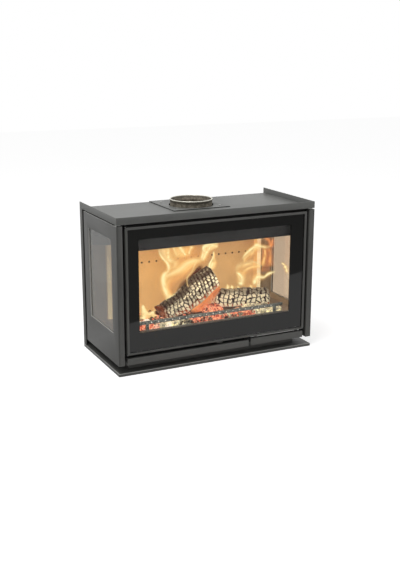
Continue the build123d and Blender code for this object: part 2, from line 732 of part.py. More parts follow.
def make_log_guard():
    """Log guard: a drilled bar over a bottom rail on two legs, standing on the front hearth brick."""
    ys = grown((GUARD_Y, GUARD_Y), GUARD_BAR / 2)
    bar = block(both(GUARD_HALF), ys, (GUARD_TOP - GUARD_HEIGHT, GUARD_TOP))
    rail_z = HEARTH_Z + GUARD_RAIL_LIFT
    guard = bar + block(both(GUARD_HALF), ys, (rail_z, rail_z + GUARD_RAIL_HEIGHT))
    for x in both(GUARD_HALF - GUARD_LEG_INSET):
        leg_xs = grown((x, x), GUARD_LEG_WIDTH / 2)
        guard = guard + block(leg_xs, ys, (HEARTH_Z, GUARD_TOP))
        guard = guard + block(leg_xs, (GUARD_Y, GUARD_Y + GUARD_FOOT), (HEARTH_Z, rail_z))
    count = int(GUARD_HALF / GUARD_HOLE_PITCH)
    for index in range(-count + 1, count):
        x = GUARD_HOLE_PITCH * index
        hole_ys = grown(ys, OVERRUN)
        guard = guard - lengthwise(x, hole_ys, GUARD_TOP - GUARD_HEIGHT / 2, GUARD_HOLE_RADIUS)
    add("log_guard", guard)


def hearth_point(shares):
    """A place over the hearth, as shares of its half width, half depth and height."""
    across, deep, up = shares
    middle = (EMBER_FRONT + EMBER_REAR) / 2
    half_depth = (EMBER_REAR - EMBER_FRONT) / 2
    return Vector(FIRE_HALF * across, middle + half_depth * deep, HEARTH_Z + (FIRE_LINTEL - HEARTH_Z) * up)


def split_log(start_shares, end_shares, width, height):
    """A split log: an uneven outline carried from one end to the other and drawn in at both."""
    start = hearth_point(start_shares)
    along = hearth_point(end_shares) - start
    points = [(width * u, height * v) for u, v in LOG_SECTION_SHARES]
    narrow = [(x * LOG_TAPER_SHARE, y * LOG_TAPER_SHARE) for x, y in points]
    length = along.length
    faces = []
    for place, outline in ((0, narrow), (length / 3, points), (length * 2 / 3, points), (length, narrow)):
        faces.append(Pos(0, 0, place) * make_face(Polyline(*outline, close=True)))
    body = loft(faces, ruled=True)
    turn = degrees(atan2(along.Y, along.X))
    tilt = degrees(atan2(hypot(along.X, along.Y), along.Z))
    return Pos(start) * Rot(0, 0, turn) * Rot(0, tilt, 0) * Rot(0, 0, 90) * body


def make_fire():
    """Fire: a log that lies on the embers, one that leans on it, and the ember bed."""
    leaning = split_log(LEANING_START_SHARES, LEANING_END_SHARES, LEANING_WIDTH, LEANING_HEIGHT)
    lying = split_log(LYING_START_SHARES, LYING_END_SHARES, LYING_WIDTH, LYING_HEIGHT)
    floor = block(both(BOX_INNER), (BOX_FRONT, BOX_BACK), (0, HEARTH_Z + FIT))
    leaning = leaning - floor
    lying = lying - leaning - floor
    add("log_leaning", leaning)
    add("log_lying", lying)

    low = Pos((0, (EMBER_FRONT + EMBER_REAR) / 2, HEARTH_Z)) * Rectangle(
        EMBER_HALF * 2, EMBER_REAR - EMBER_FRONT)
    high = Pos((0, (EMBER_FRONT + EMBER_REAR) / 2, HEARTH_Z + EMBER_HEIGHT)) * Rectangle(
        (EMBER_HALF - EMBER_SLOPE) * 2, EMBER_REAR - EMBER_FRONT - EMBER_SLOPE * 2)
    bed = loft([low, high], ruled=True)
    add("ember_bed", bed - leaning - lying)


def make_door():
    """Door: a folded steel frame with a glass behind its lip, a rope seal and the handle's lugs."""
    xs = both(DOOR_HALF)
    zs = (DOOR_Z, DOOR_TOP)
    lip_zs = (DOOR_Z + LIP_BOTTOM, DOOR_TOP - LIP)
    lip_xs = both(DOOR_HALF - LIP)
    inner_xs = both(DOOR_HALF - DOOR_WALL)
    inner_zs = (DOOR_Z + DOOR_WALL, DOOR_TOP - DOOR_WALL)
    open_xs = both(DOOR_OPEN_HALF)
    open_zs = (DOOR_Z + DOOR_OPEN_LIFT, DOOR_TOP - DOOR_OPEN_DROP)
    glass_front = FRONT + DOOR_WALL + TAPE
    glass_back = glass_front + GLASS
    flange = glass_back + CLIP_SEAT
    channel_z = (DOOR_Z + LIP_BOTTOM, DOOR_TOP - LIP)

    frame = facing_ring(xs, zs, inner_xs, inner_zs, (FRONT, DOOR_BACK))
    frame = frame + facing_ring(inner_xs, inner_zs, lip_xs, lip_zs, (FRONT, FRONT + DOOR_WALL))
    frame = frame + facing_ring(inner_xs, inner_zs, open_xs, open_zs, (flange, flange + DOOR_WALL))
    legs = (flange + DOOR_WALL, DOOR_BACK)
    liner_xs = grown(open_xs, DOOR_WALL)
    liner_zs = grown(open_zs, DOOR_WALL)
    frame = frame + facing_ring(liner_xs, liner_zs, open_xs, open_zs, legs)
    rope_xs = grown(lip_xs, -FIT)
    rope_zs = grown(channel_z, -FIT)
    rope_open_xs = grown(rope_xs, -ROPE_WIDTH)
    rope_open_zs = grown(rope_zs, -ROPE_WIDTH)
    leg_open_xs = grown(rope_open_xs, -FIT)
    leg_open_zs = grown(rope_open_zs, -FIT)
    frame = frame + facing_ring(
        leg_open_xs, leg_open_zs, grown(leg_open_xs, -DOOR_WALL), grown(leg_open_zs, -DOOR_WALL), legs)
    frame = frame + facing_ring(grown(lip_xs, DOOR_WALL), grown(lip_zs, THIN), lip_xs, lip_zs, legs)

    for z, way in ((DOOR_Z, 1), (DOOR_TOP, -1)):
        boss = sorted((z, z + way * (HINGE_PIN_DEPTH + PANEL)))
        bore = sorted((z - way * OVERRUN, z + way * (HINGE_PIN_DEPTH + FIT)))
        lug = block((-DOOR_HALF, -DOOR_HALF + LIP), (glass_back + FIT, DOOR_BACK), boss)
        frame = frame + lug - upright(HINGE_X, HINGE_Y, bore, HINGE_PIN + PIN_PLAY)

    add("door_frame", frame)

    lugs = []
    for share in LUG_X_SHARES:
        x = HANDLE_LEFT + HANDLE_LENGTH * share
        lug_xs = grown((x, x), LUG_THICK / 2)
        lug_ys = grown((SHAFT_Y, SHAFT_Y), LUG_REACH)
        plate = block(lug_xs, lug_ys, (SHAFT_HEIGHT, DOOR_Z))
        eye = crosswise(lug_xs, SHAFT_Y, SHAFT_HEIGHT, LUG_REACH)
        above = block(lug_xs, lug_ys, (DOOR_Z, DOOR_Z + LUG_REACH))
        bore = crosswise(grown(lug_xs, OVERRUN), SHAFT_Y, SHAFT_HEIGHT, SHAFT_RADIUS + PIN_PLAY)
        lugs.append(plate + eye - above - bore)
    add("handle_lugs", group(lugs))

    glass_xs = grown(inner_xs, -GLASS_PLAY)
    glass_zs = grown(inner_zs, -GLASS_PLAY)
    add("door_glass", block(glass_xs, (glass_front, glass_back), glass_zs))
    tape = facing_ring(
        glass_xs, glass_zs,
        grown(glass_xs, -DOOR_TAPE_WIDTH), (glass_zs[0] + THIN, glass_zs[1] - DOOR_TAPE_WIDTH),
        (FRONT + DOOR_WALL, glass_front),
    )
    add("door_glass_tape", tape)
    add("door_rope_seal", facing_ring(
        rope_xs, rope_zs, rope_open_xs, rope_open_zs, (flange + DOOR_WALL, FRAME_Y - FIT)))

    clips = []
    clip_x = DOOR_HALF - LIP - DOOR_CLIP_WIDTH
    for z in spread(open_zs[0] + LIP, open_zs[1] - LIP, CLIPS_PER_EDGE):
        clip = block(
            (clip_x - DOOR_CLIP_WIDTH / 2, clip_x + DOOR_CLIP_WIDTH / 2),
            (glass_back, flange), grown((z, z), DOOR_CLIP_LENGTH / 2))
        clips.extend([clip, mirrored(clip)])
    low = (open_zs[0] + DOOR_Z) / 2
    high = (open_zs[1] + DOOR_TOP) / 2
    for x in spread(-DOOR_OPEN_HALF + LIP, DOOR_OPEN_HALF - LIP, CLIPS_PER_EDGE + 1):
        for z in (low, high):
            clips.append(block(
                grown((x, x), DOOR_CLIP_LENGTH / 2), (glass_back, flange),
                grown((z, z), DOOR_CLIP_WIDTH / 2)))
    add("door_glass_clips", group(clips))


def make_hinges():
    """Door hinges: a plate above and below the door on the front frame, each with a pin."""
    plates = []
    pins = []
    for z, way in ((DOOR_Z, -1), (DOOR_TOP, 1)):
        inner = z + way * HINGE_WASHER
        outer = inner + way * HINGE_PLATE
        zs = sorted((inner, outer))
        plate = block(
            grown((HINGE_X, HINGE_X), HINGE_PLATE_HALF), (HINGE_Y, FRAME_Y), zs)
        plate = plate + upright(HINGE_X, HINGE_Y, zs, HINGE_PLATE_HALF)
        plates.append(plate - upright(HINGE_X, HINGE_Y, grown(zs, OVERRUN), HINGE_PIN))
        pin_zs = sorted((outer, z - way * HINGE_PIN_DEPTH))
        collar_zs = sorted((inner, z + way * FIT))
        pin = upright(HINGE_X, HINGE_Y, pin_zs, HINGE_PIN)
        pins.append(pin + upright(HINGE_X, HINGE_Y, collar_zs, HINGE_PLATE_HALF))
    add("hinge_brackets", group(plates))
    add("hinge_pins", group(pins))


def make_front_strip():
    """The fixed strip under the door's left part, folded back to the front frame."""
    top = BODY_Z + STRIP_FACE_HEIGHT
    xs = (-DOOR_HALF, STRIP_RIGHT)
    strip = block(xs, (FRONT, FRONT + THIN), (BODY_Z, top))
    strip = strip + block(xs, (FRONT + THIN, FRONT + STRIP_FOLD), (top - THIN, top))
    strip = strip + block(xs, (FRONT + THIN, FRAME_Y), (BODY_Z, BODY_Z + THIN))
    for x in (xs[0], xs[1] - THIN):
        strip = strip + block((x, x + THIN), (FRONT + THIN, FRAME_Y), (BODY_Z, top - THIN))
    add("lower_strip", strip)


def make_handle():
    """Handle: a strip that hangs on a shaft under the door, with the latch tongue on its right."""
    low = BODY_Z + HANDLE_LIFT
    high = low + HANDLE_HEIGHT
    xs = (HANDLE_LEFT, HANDLE_RIGHT)
    strip = block(xs, (FRONT, FRONT + THIN), (low, high))
    strip = strip + block(xs, (FRONT + THIN, FRONT + HANDLE_FOLD), (high - THIN, high))
    strip = strip + block(xs, (FRONT + THIN, FRONT + HANDLE_FOLD), (low, low + THIN))
    for share, way in zip(LUG_X_SHARES, (1, -1)):
        x = HANDLE_LEFT + HANDLE_LENGTH * share + way * (LUG_THICK + ARM_THICK + THIN) / 2
        arm_xs = grown((x, x), ARM_THICK / 2)
        arm = block(arm_xs, (SHAFT_Y - ARM_EYE, SHAFT_Y + ARM_EYE), (high - THIN, SHAFT_HEIGHT))
        arm = arm + block(arm_xs, (FRONT + THIN, SHAFT_Y + ARM_EYE), (low + THIN, high - THIN))
        arm = arm + crosswise(arm_xs, SHAFT_Y, SHAFT_HEIGHT, ARM_EYE)
        strip = strip + arm
    bore = crosswise(grown(xs, OVERRUN), SHAFT_Y, SHAFT_HEIGHT, SHAFT_RADIUS)
    add("handle_strip", strip - bore)
    shaft_xs = (HANDLE_LEFT + LUG_THICK, TONGUE_X + ARM_THICK)
    add("handle_shaft", crosswise(shaft_xs, SHAFT_Y, SHAFT_HEIGHT, SHAFT_RADIUS))

    tongue_xs = grown((TONGUE_X, TONGUE_X), ARM_THICK / 2)
    zs = grown((SHAFT_HEIGHT, SHAFT_HEIGHT), TONGUE_HEIGHT / 2)
    tongue = block(tongue_xs, (SHAFT_Y, SHAFT_Y + TONGUE_LENGTH), zs)
    tongue = tongue + crosswise(tongue_xs, SHAFT_Y, SHAFT_HEIGHT, ARM_EYE)
    tongue = tongue - crosswise(grown(tongue_xs, OVERRUN), SHAFT_Y, SHAFT_HEIGHT, SHAFT_RADIUS)
    add("latch_tongue", tongue)

    top = SHAFT_HEIGHT + TONGUE_HEIGHT / 2 + FIT
    roller_y = SHAFT_Y + TONGUE_LENGTH - KEEPER_ROLLER
    reach_y = roller_y + KEEPER_ROLLER
    roller = crosswise(grown((TONGUE_X, TONGUE_X), KEEPER_HALF), roller_y, top + KEEPER_ROLLER, KEEPER_ROLLER)
    keeper = roller
    for x in (TONGUE_X - KEEPER_HALF, TONGUE_X + KEEPER_HALF - KEEPER_PLATE):
        cheek = block((x, x + KEEPER_PLATE), (BOX_FRONT, reach_y), (top, top + KEEPER_ROLLER * 3))
        keeper = keeper + cheek
    add("latch_keeper", keeper)


def make_air_control():
    """Air control: a duct over the inlet with two slots, a sliding damper on it and its lever."""
    duct = block(both(DUCT_HALF), (DUCT_FRONT, DUCT_REAR), (BOTTOM_TOP, DUCT_TOP))
    inside = block(
        both(DUCT_HALF - THIN), (DUCT_FRONT + THIN, DUCT_REAR - THIN),
        (BOTTOM_TOP + THIN, DUCT_TOP - THIN),
    )
    duct = duct - inside
    floor_zs = (BOTTOM_TOP, BOTTOM_TOP + THIN)
    duct = duct - upright(0, INLET_Y, grown(floor_zs, OVERRUN), INLET_RADIUS + INLET_WALL + FIT)
    slot_ys = (VALVE_FRONT, VALVE_FRONT + VALVE_DEPTH)
    slot_places = both(LEVER_TRAVEL * 2)
    for x in slot_places:
        xs = grown((x, x), VALVE_SLOT / 2)
        duct = duct - block(xs, slot_ys, (DUCT_TOP - THIN - OVERRUN, DUCT_TOP + OVERRUN))
    plate_ys = grown(slot_ys, DAMPER_LAP)
    for y in (plate_ys[0] - FIT - GUIDE_WIDTH, plate_ys[1] + FIT):
        duct = duct + block(both(DUCT_HALF), (y, y + GUIDE_WIDTH), (DUCT_TOP, DUCT_TOP + GUIDE_HEIGHT))
    add("air_duct", duct)

    inlet = upright(0, INLET_Y, (INLET_LIFT, BOTTOM_TOP + THIN * 2), INLET_RADIUS + INLET_WALL)
    flange_zs = (BOTTOM_TOP + THIN, BOTTOM_TOP + THIN * 2)
    inlet = inlet + upright(0, INLET_Y, flange_zs, INLET_RADIUS + INLET_FLANGE)
    bore = upright(0, INLET_Y, (0, BOTTOM_TOP + THIN * 3), INLET_RADIUS)
    add("air_inlet", inlet - bore)

    damper = block(both(DAMPER_HALF), plate_ys, (DAMPER_Z, LEVER_Z))
    for x in slot_places:
        xs = grown((x + LEVER_TRAVEL, x + LEVER_TRAVEL), VALVE_SLOT / 2)
        damper = damper - block(xs, slot_ys, grown((DAMPER_Z, LEVER_Z), OVERRUN))
    lever_xs = grown((LEVER_X, LEVER_X), LEVER_WIDTH / 2)
    add("air_damper", damper)
    add("air_lever", block(lever_xs, (FRONT + LEVER_SET, plate_ys[1]), (LEVER_Z, LEVER_Z + LEVER_THICK)))


def main():
    """Builds every piece and writes one file for each node."""
    for make in (
        make_base, make_posts, make_front_frame, make_firebox, make_side_windows, make_side_panels,
        make_lining, make_grate, make_baffles, make_flue, make_top, make_rear_casing, make_fasteners,
        make_log_guard, make_fire, make_door, make_hinges, make_front_strip, make_handle,
        make_air_control,
    ):
        make()
    os.makedirs("parts", exist_ok=True)
    for name, shape in PIECES.items():
        export_step(shape, "parts/" + name + ".step")
    print(len(PIECES), "nodes")


main()
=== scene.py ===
"""Three-sided fireplace insert: its paints, glass, castings, lining, logs, embers and flames.

Lengths are in metres, in the frame of the packed part: +X right, +Y to the rear, +Z up.
"""
import json
from math import pi, radians

import bmesh
import bpy
import numpy as np
from mathutils import Matrix, Vector

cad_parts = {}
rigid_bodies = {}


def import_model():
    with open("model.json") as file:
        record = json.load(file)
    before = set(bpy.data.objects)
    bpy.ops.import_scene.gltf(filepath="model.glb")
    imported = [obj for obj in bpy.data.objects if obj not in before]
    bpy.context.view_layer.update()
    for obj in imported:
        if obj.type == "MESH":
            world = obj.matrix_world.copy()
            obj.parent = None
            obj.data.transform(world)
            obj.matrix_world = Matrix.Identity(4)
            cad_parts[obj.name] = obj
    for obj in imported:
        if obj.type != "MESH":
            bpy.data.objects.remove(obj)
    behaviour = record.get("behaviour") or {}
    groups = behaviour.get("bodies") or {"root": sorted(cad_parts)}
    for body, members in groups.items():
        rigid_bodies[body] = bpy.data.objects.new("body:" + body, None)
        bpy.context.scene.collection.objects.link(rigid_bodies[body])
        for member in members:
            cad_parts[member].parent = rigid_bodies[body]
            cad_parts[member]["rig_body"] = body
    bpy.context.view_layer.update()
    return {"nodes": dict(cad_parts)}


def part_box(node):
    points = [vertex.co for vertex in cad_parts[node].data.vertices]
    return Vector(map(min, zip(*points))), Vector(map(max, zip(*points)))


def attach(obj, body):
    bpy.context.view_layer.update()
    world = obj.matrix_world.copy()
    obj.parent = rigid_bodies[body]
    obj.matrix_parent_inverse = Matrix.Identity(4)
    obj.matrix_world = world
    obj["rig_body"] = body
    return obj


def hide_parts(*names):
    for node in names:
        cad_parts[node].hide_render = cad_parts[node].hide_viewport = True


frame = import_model()

bl_info = {
    "name": "Fireplace insert",
    "version": (1, 0, 0),
    "blender": (4, 5, 0),
    "location": "View3D > Sidebar > Insert",
    "description": "Dresses the packed fireplace insert with its finishes, glass, logs and fire",
    "category": "Object",
}

MM = 0.001
BLACK = (0, 0, 0)
# Inputs of a surface that shines and reflects nothing
SHINING = {"Base Color": BLACK, "Roughness": 1.0, "Specular IOR Level": 0.0}


# Settings


def length(name, text, default):
    """A length that a user can set."""
    return bpy.props.FloatProperty(name=name, description=text, default=default, unit="LENGTH")


def tone(name, text, default):
    """A colour that a user can set."""
    return bpy.props.FloatVectorProperty(
        name=name, description=text, default=default, size=3, min=0, max=1, subtype="COLOR")


def share(name, text, default):
    """A strength or a share that a user can set."""
    return bpy.props.FloatProperty(name=name, description=text, default=default)


class CasingSettings(bpy.types.PropertyGroup):
    """Sizes and colours of the painted sheets."""

    edge: length("Edge", "Radius of the sheets' edges", 1.1 * MM)
    thin_edge: length("Thin edge", "Radius of the cover plate's edges", 0.44 * MM)
    paint: tone("Paint", "Stove paint of the casing", (0.085, 0.085, 0.079))
    # Painted light: the tray's colour is the stove paint made lighter for the light that falls on the tray,
    # and the cover plate takes it too
    lit_tray_paint: tone("Lit tray paint", "Stove paint of the tray, which lies in the light", (0.131, 0.133, 0.125))
    inner_paint: tone("Inner paint", "Heat-resistant paint inside", (0.014, 0.0135, 0.013))
    # Partly painted light: plates browned by the fire's heat, in a tan light enough to stand in for the
    # firelight on them
    browned: tone("Firelit browned", "Corner plates browned by the fire", (0.46, 0.37, 0.27))
    # Painted shadow: the cover plate's cut edge takes a near-black colour for the shade it lies in
    seam: tone("Seam", "Shadowed cut edge of the cover plate", (0.004, 0.004, 0.004))
    edge_shadow_depth: length("Edge shadow depth", "How far under the cover plate's face its edge turns dark", 0.5 * MM)
    # Painted highlight: a light tone on the side panels' cut edges, round the windows and along the top, for
    # the light they catch
    panel_highlight: tone("Panel highlight", "Bright cut edges of the side panels", (0.50, 0.50, 0.47))
    panel_highlight_width: length("Panel highlight width", "Width of the panels' bright edges", 0.6 * MM)
    # Painted highlight: the worn tone is a light colour painted along the base plate's upper edges for the
    # light they catch
    worn: tone("Worn", "Base plate's upper edges, worn bright", (0.34, 0.34, 0.32))
    base_highlight_width: length("Base highlight width", "Width of the base plate's worn edges", 2.0 * MM)
    window_front: length("Window front", "Front edge of the side windows", -134 * MM)
    window_rear: length("Window rear", "Rear edge of the side windows", 94 * MM)
    window_low: length("Window sill", "Height of the side windows' lower edge", 146 * MM)
    window_high: length("Window top", "Height of the side windows' upper edge", 474 * MM)
    lip_edge: length("Lip edge", "Radius of the door frame's edges", 1.5 * MM)
    roughness: share("Roughness", "Roughness of the stove paint", 0.46)


class LiningSettings(bpy.types.PropertyGroup):
    """Sizes and colours of the vermiculite lining."""

    edge: length("Edge", "Radius of the boards' edges", 0.6 * MM)
    board: tone("Board", "Pressed vermiculite", (0.66, 0.40, 0.165))
    strip: tone("Strip", "Cleaner board of the corner strips", (0.92, 0.71, 0.38))
    flake: tone("Flake", "Mica flakes in the board", (0.86, 0.62, 0.30))
    soot: tone("Soot", "Smoke marks on the board", (0.30, 0.16, 0.075))
    scorch: tone("Scorch", "Board browned above the air holes", (0.44, 0.20, 0.10))
    # Painted shade: a near-black colour in the air holes, fading out round them, for the shade inside the
    # holes
    hole_shade: tone("Hole shade", "Soot round the air holes", (0.03, 0.014, 0.008))
    hearth: tone("Hearth", "Board under ash and tar", (0.54, 0.43, 0.32))
    sooted: tone("Sooted", "Board blackened by smoke", (0.05, 0.035, 0.022))
    strip_width: length("Strip width", "Width of the corner strips", 18 * MM)
    glow: share("Glow", "Light that the fire leaves on the board", 0.66)
    strip_glow: share("Strip glow", "Light that the fire leaves on the left corner strip", 1.9)
    strip_dimmed: share("Strip dimmed", "Share of that light that the right strip lacks", 0.58)


class GlassSettings(bpy.types.PropertyGroup):
    """Sizes and tints of the panes and their seals."""

    window_left: length("Window left", "Left edge of the unprinted window", -307.5 * MM)
    window_right: length("Window right", "Right edge of the unprinted window", 292 * MM)
    window_low: length("Window sill", "Height of the window's lower edge", 148 * MM)
    window_high: length("Window top", "Height of the window's upper edge", 476 * MM)
    ground: length("Ground edge", "Width of the panes' ground edges", 0.6 * MM)
    print_depth: length("Print", "Thickness of the printed border", 0.1 * MM)
    lip: length("Lip", "Width of the glass behind the frame's lip", 5.4 * MM)
    print_tone: tone("Print tone", "Black print on the glass", (0.008, 0.008, 0.007))
    front_tint: tone("Front tint", "Tint of the front pane", (0.96, 0.96, 0.95))
    # Painted light: the right pane's warm tint stands in for the firelight reflected in it
    right_firelit_tint: tone("Right firelit tint", "Tint of the right pane", (0.52, 0.39, 0.27))
    left_tint: tone("Left tint", "Tint of the left pane", (0.24, 0.24, 0.21))
    front_index: share("Front index", "Refraction of the front pane, low for its coating", 1.25)
    right_index: share("Right index", "Refraction of the right pane", 1.5)
    left_index: share("Left index", "Refraction of the left pane, high for its mirror coating", 1.85)
    rope_dark: tone("Rope, dark", "Seal rope between its strands", (0.12, 0.118, 0.11))
    rope_light: tone("Rope, light", "Strands of the seal rope", (0.26, 0.255, 0.24))
    tape_dark: tone("Tape, dark", "Fibre tape between its strands", (0.50, 0.49, 0.46))
    tape_light: tone("Tape, light", "Strands of the fibre tape", (0.74, 0.73, 0.69))


class CollarSettings(bpy.types.PropertyGroup):
    """Sizes and colours of the flue collar, the log guard and the grate."""

    bore: length("Bore", "Radius of the collar's bore", 75 * MM)
    wall: length("Wall", "Radius of the collar's outer side", 78 * MM)
    flange: length("Flange", "Thickness of the collar's flange", 5 * MM)
    bead: length("Bead", "How far the rim's bead stands proud", 1.5 * MM)
    guard_edge: length("Guard edge", "Radius of the log guard's edges", 0.6 * MM)
    hole_pitch: length("Hole pitch", "Distance between the guard's holes", 27 * MM)
    hole_radius: length("Hole radius", "Radius of the light in the guard's holes", 1.9 * MM)
    hole_drop: length("Hole drop", "Depth of the guard's holes under its upper edge", 6 * MM)
    ash_height: length("Ash height", "How high ash lies on the guard", 14 * MM)
    iron: tone("Iron", "Raw casting of the collar", (0.44, 0.39, 0.31))
    # Partly painted highlight: the collar's machined lip, painted near white for the light it catches
    lip_highlight: tone("Lip", "Collar's lip, worn bright", (0.93, 0.91, 0.80))
    dark_iron: tone("Dark iron", "Casting of the guard and the grate", (0.30, 0.31, 0.27))
    guard_ash: tone("Ash", "Ash on the guard's foot", (0.85, 0.80, 0.66))
    hole_fire: tone("Hole fire", "Fire seen through the guard's holes", (1.0, 0.95, 0.84))
    hole_glow: share("Hole glow", "Strength of that fire", 1.3)


class WoodSettings(bpy.types.PropertyGroup):
    """Sizes and colours of the logs."""

    crack_width: length("Crack width", "Half width of the cracks", 3.0 * MM)
    crack_depth: length("Crack depth", "Depth of the cracks", 4.5 * MM)
    dents: length("Dents", "Depth of the soft hollows", 2.2 * MM)
    block_step: length("Block step", "How much deeper one block lies than another", 1.6 * MM)
    step: length("Mesh step", "Spacing of the mesh on the logs", 1.3 * MM)
    char: tone("Char", "Charred wood", (0.030, 0.0115, 0.0075))
    ash: tone("Ash", "Ash on the blocks", (0.78, 0.71, 0.52))
    ember: tone("Ember", "Glow in the cracks", (1.0, 0.16, 0.03))
    lit: share("Lit", "Light that the fire leaves on the ash", 0.42)


class EmberSettings(bpy.types.PropertyGroup):
    """Sizes and colours of the embers."""

    count: bpy.props.IntProperty(name="Count", description="Loose lumps on the bed", default=420)
    small: length("Small", "Radius of the smallest lump", 5 * MM)
    large: length("Large", "Radius of the largest lump", 12 * MM)
    hot: tone("Hot", "Glowing ember", (0.62, 0.085, 0.045))
    hottest: tone("Hottest", "Brightest patches of an ember", (1.0, 0.42, 0.22))
    white: tone("White", "Embers at white heat", (1.0, 0.84, 0.64))
    ash: tone("Ash", "Ash on the embers", (0.84, 0.77, 0.54))
    lit: share("Lit", "Light that the fire leaves on the ash", 0.54)
    glow: share("Glow", "Strength of the embers' own light", 1.14)


class FlameSettings(bpy.types.PropertyGroup):
    """Colours and strength of the flames."""

    core: tone("Core", "Hot ridge of a flame", (1.0, 0.86, 0.44))
    body: tone("Body", "Body of a flame", (1.0, 0.57, 0.18))
    edge: tone("Edge", "Thin outer flame", (0.78, 0.20, 0.07))
    smoke: tone("Smoke", "Dark smoke over the leaning log", (0.10, 0.035, 0.02))
    strength: share("Strength", "Strength of the flames' own light", 1.1)
    light: share("Light", "Power of the fire lamp in watts", 0.75)
    light_width: length("Light width", "Width of the fire lamp", 600 * MM)
    light_depth: length("Light depth", "Depth of the fire lamp", 40 * MM)
    light_tone: tone("Light tone", "Colour of the fire lamp", (1.0, 0.76, 0.48))


class StudioSettings(bpy.types.PropertyGroup):
    """Camera, floor and lamps."""

    camera_x: length("Camera X", "Camera to the left of the insert", -1.4014)
    camera_y: length("Camera Y", "Camera in front of the insert", -2.8711)
    camera_z: length("Camera Z", "Camera height", 1.0979)
    yaw: bpy.props.FloatProperty(
        name="Yaw", description="Turn to the right", default=radians(26.20), subtype="ANGLE")
    pitch: bpy.props.FloatProperty(
        name="Pitch", description="Tilt downwards", default=radians(14.87), subtype="ANGLE")
    roll: bpy.props.FloatProperty(
        name="Roll", description="Turn about the line of sight", default=radians(0.11), subtype="ANGLE")
    lens: share("Lens", "Focal length in mm on a 36 mm high frame", 56.345)
    world: share("World", "Strength of the white surroundings as a light", 0.44)
    key: share("Key", "Power of the soft lamp above left in watts", 44.0)
    key_size: length("Key size", "Width of that lamp", 1.6)
    floor: tone("Floor", "Pale studio floor", (0.80, 0.80, 0.80))
    floor_reach: length("Floor reach", "Half the width of the floor", 9.0)
    floor_glow: share("Floor glow", "Strength of the floor's own light where it is seen", 0.62)
    floor_gloss: share("Floor gloss", "Share of that light that reflections show", 0.4)
    dark: tone("Dark", "Dim studio beyond the floor, as the glass shows it", (0.30, 0.30, 0.30))
    side: share("Side", "Brightness of the studio behind on the left, as paint and glass show it", 0.68)
    near_side: share("Near side", "Share of it beside the insert", 0.90)


SETTINGS = {
    "insert_casing": CasingSettings,
    "insert_lining": LiningSettings,
    "insert_glass": GlassSettings,
    "insert_collar": CollarSettings,
    "insert_wood": WoodSettings,
    "insert_embers": EmberSettings,
    "insert_flames": FlameSettings,
    "insert_studio": StudioSettings,
}


# Node trees


class Graph:
    """Adds nodes to one tree. Each call returns an output that the next call can take."""

    def __init__(self, tree):
        self.tree = tree

    def node(self, kind, inputs=(), **settings):
        """A node with its settings, whose inputs take values or other nodes' outputs."""
        made = self.tree.nodes.new("ShaderNode" + kind)
        for key, value in settings.items():
            setattr(made, key, value)
        for key, value in dict(inputs).items():
            if isinstance(value, bpy.types.NodeSocket):
                self.tree.links.new(value, made.inputs[key])
            else:
                made.inputs[key].default_value = value
        return made

    def place(self, scale=(1, 1, 1)):
        """Object coordinates, stretched by a scale."""
        at = self.node("TexCoord").outputs["Object"]
        return self.node("Mapping", {"Vector": at, "Scale": scale}).outputs["Vector"]

    def axes(self):
        """The three object coordinates, by name."""
        return self.node("SeparateXYZ", {0: self.place()}).outputs

    def noise(self, at, scale, detail=3.0, roughness=0.55):
        """Soft noise between 0 and 1."""
        inputs = {"Vector": at, "Scale": scale, "Detail": detail, "Roughness": roughness}
        return self.node("TexNoise", inputs).outputs["Fac"]

    def cells(self, at, scale):
        """The distance to the nearest of many scattered points."""
        return self.node("TexVoronoi", {"Vector": at, "Scale": scale}).outputs["Distance"]

    def span(self, value, low, high, to_low=0.0, to_high=1.0):
        """A value carried from one range to another and kept within it."""
        inputs = {"Value": value, "From Min": low, "From Max": high, "To Min": to_low, "To Max": to_high}
        return self.node("MapRange", inputs).outputs["Result"]

    def math(self, operation, first, second=0.0):
        """A value worked out from one or two others."""
        return self.node("Math", {0: first, 1: second}, operation=operation).outputs[0]

    def times(self, first, second):
        """Two values multiplied."""
        return self.math("MULTIPLY", first, second)

    def plus(self, first, second):
        """Two values added."""
        return self.math("ADD", first, second)

    def within(self, value, low, high):
        """1 where a value lies between two others, and 0 elsewhere."""
        middle, reach = (low + high) / 2, (high - low) / 2
        off = self.math("ABSOLUTE", self.math("SUBTRACT", value, middle))
        return self.math("LESS_THAN", off, reach)

    def mix(self, factor, first, second):
        """Two colours mixed."""
        first, second = (colour(c) for c in (first, second))
        return self.node("Mix", {0: factor, 6: first, 7: second}, data_type="RGBA").outputs[2]

    def attribute(self, name):
        """A value that the mesh carries."""
        return self.node("Attribute", attribute_name=name).outputs["Fac"]

    def bump(self, height, depth, strength=1.0):
        """A normal from a height in metres."""
        inputs = {"Height": height, "Distance": depth, "Strength": strength}
        return self.node("Bump", inputs).outputs["Normal"]

    def shared(self, name, **inputs):
        """One of the shared effects, with its own values."""
        made = self.node("Group", node_tree=bpy.data.node_groups[name])
        for key, value in inputs.items():
            made.inputs[key].default_value = value
        return made.outputs

    def surface(self, shader):
        """The material's surface."""
        self.tree.links.new(shader, self.tree.nodes["Material Output"].inputs["Surface"])


def colour(value):
    """A colour with its fourth channel, or an output as it is."""
    if isinstance(value, bpy.types.NodeSocket):
        return value
    return (*value, 1.0)


def new_material(name, inputs, build=None):
    """A material with one Principled shader: plain inputs, and those that build works out."""
    material = bpy.data.materials.new(name)
    material.use_nodes = True
    graph = Graph(material.node_tree)
    shader = material.node_tree.nodes["Principled BSDF"]
    worked = build(graph) if build else {}
    for key, value in {**inputs, **worked}.items():
        if isinstance(value, bpy.types.NodeSocket):
            graph.tree.links.new(value, shader.inputs[key])
        elif hasattr(value, "__len__"):
            shader.inputs[key].default_value = colour(value)
        else:
            shader.inputs[key].default_value = value
    return material


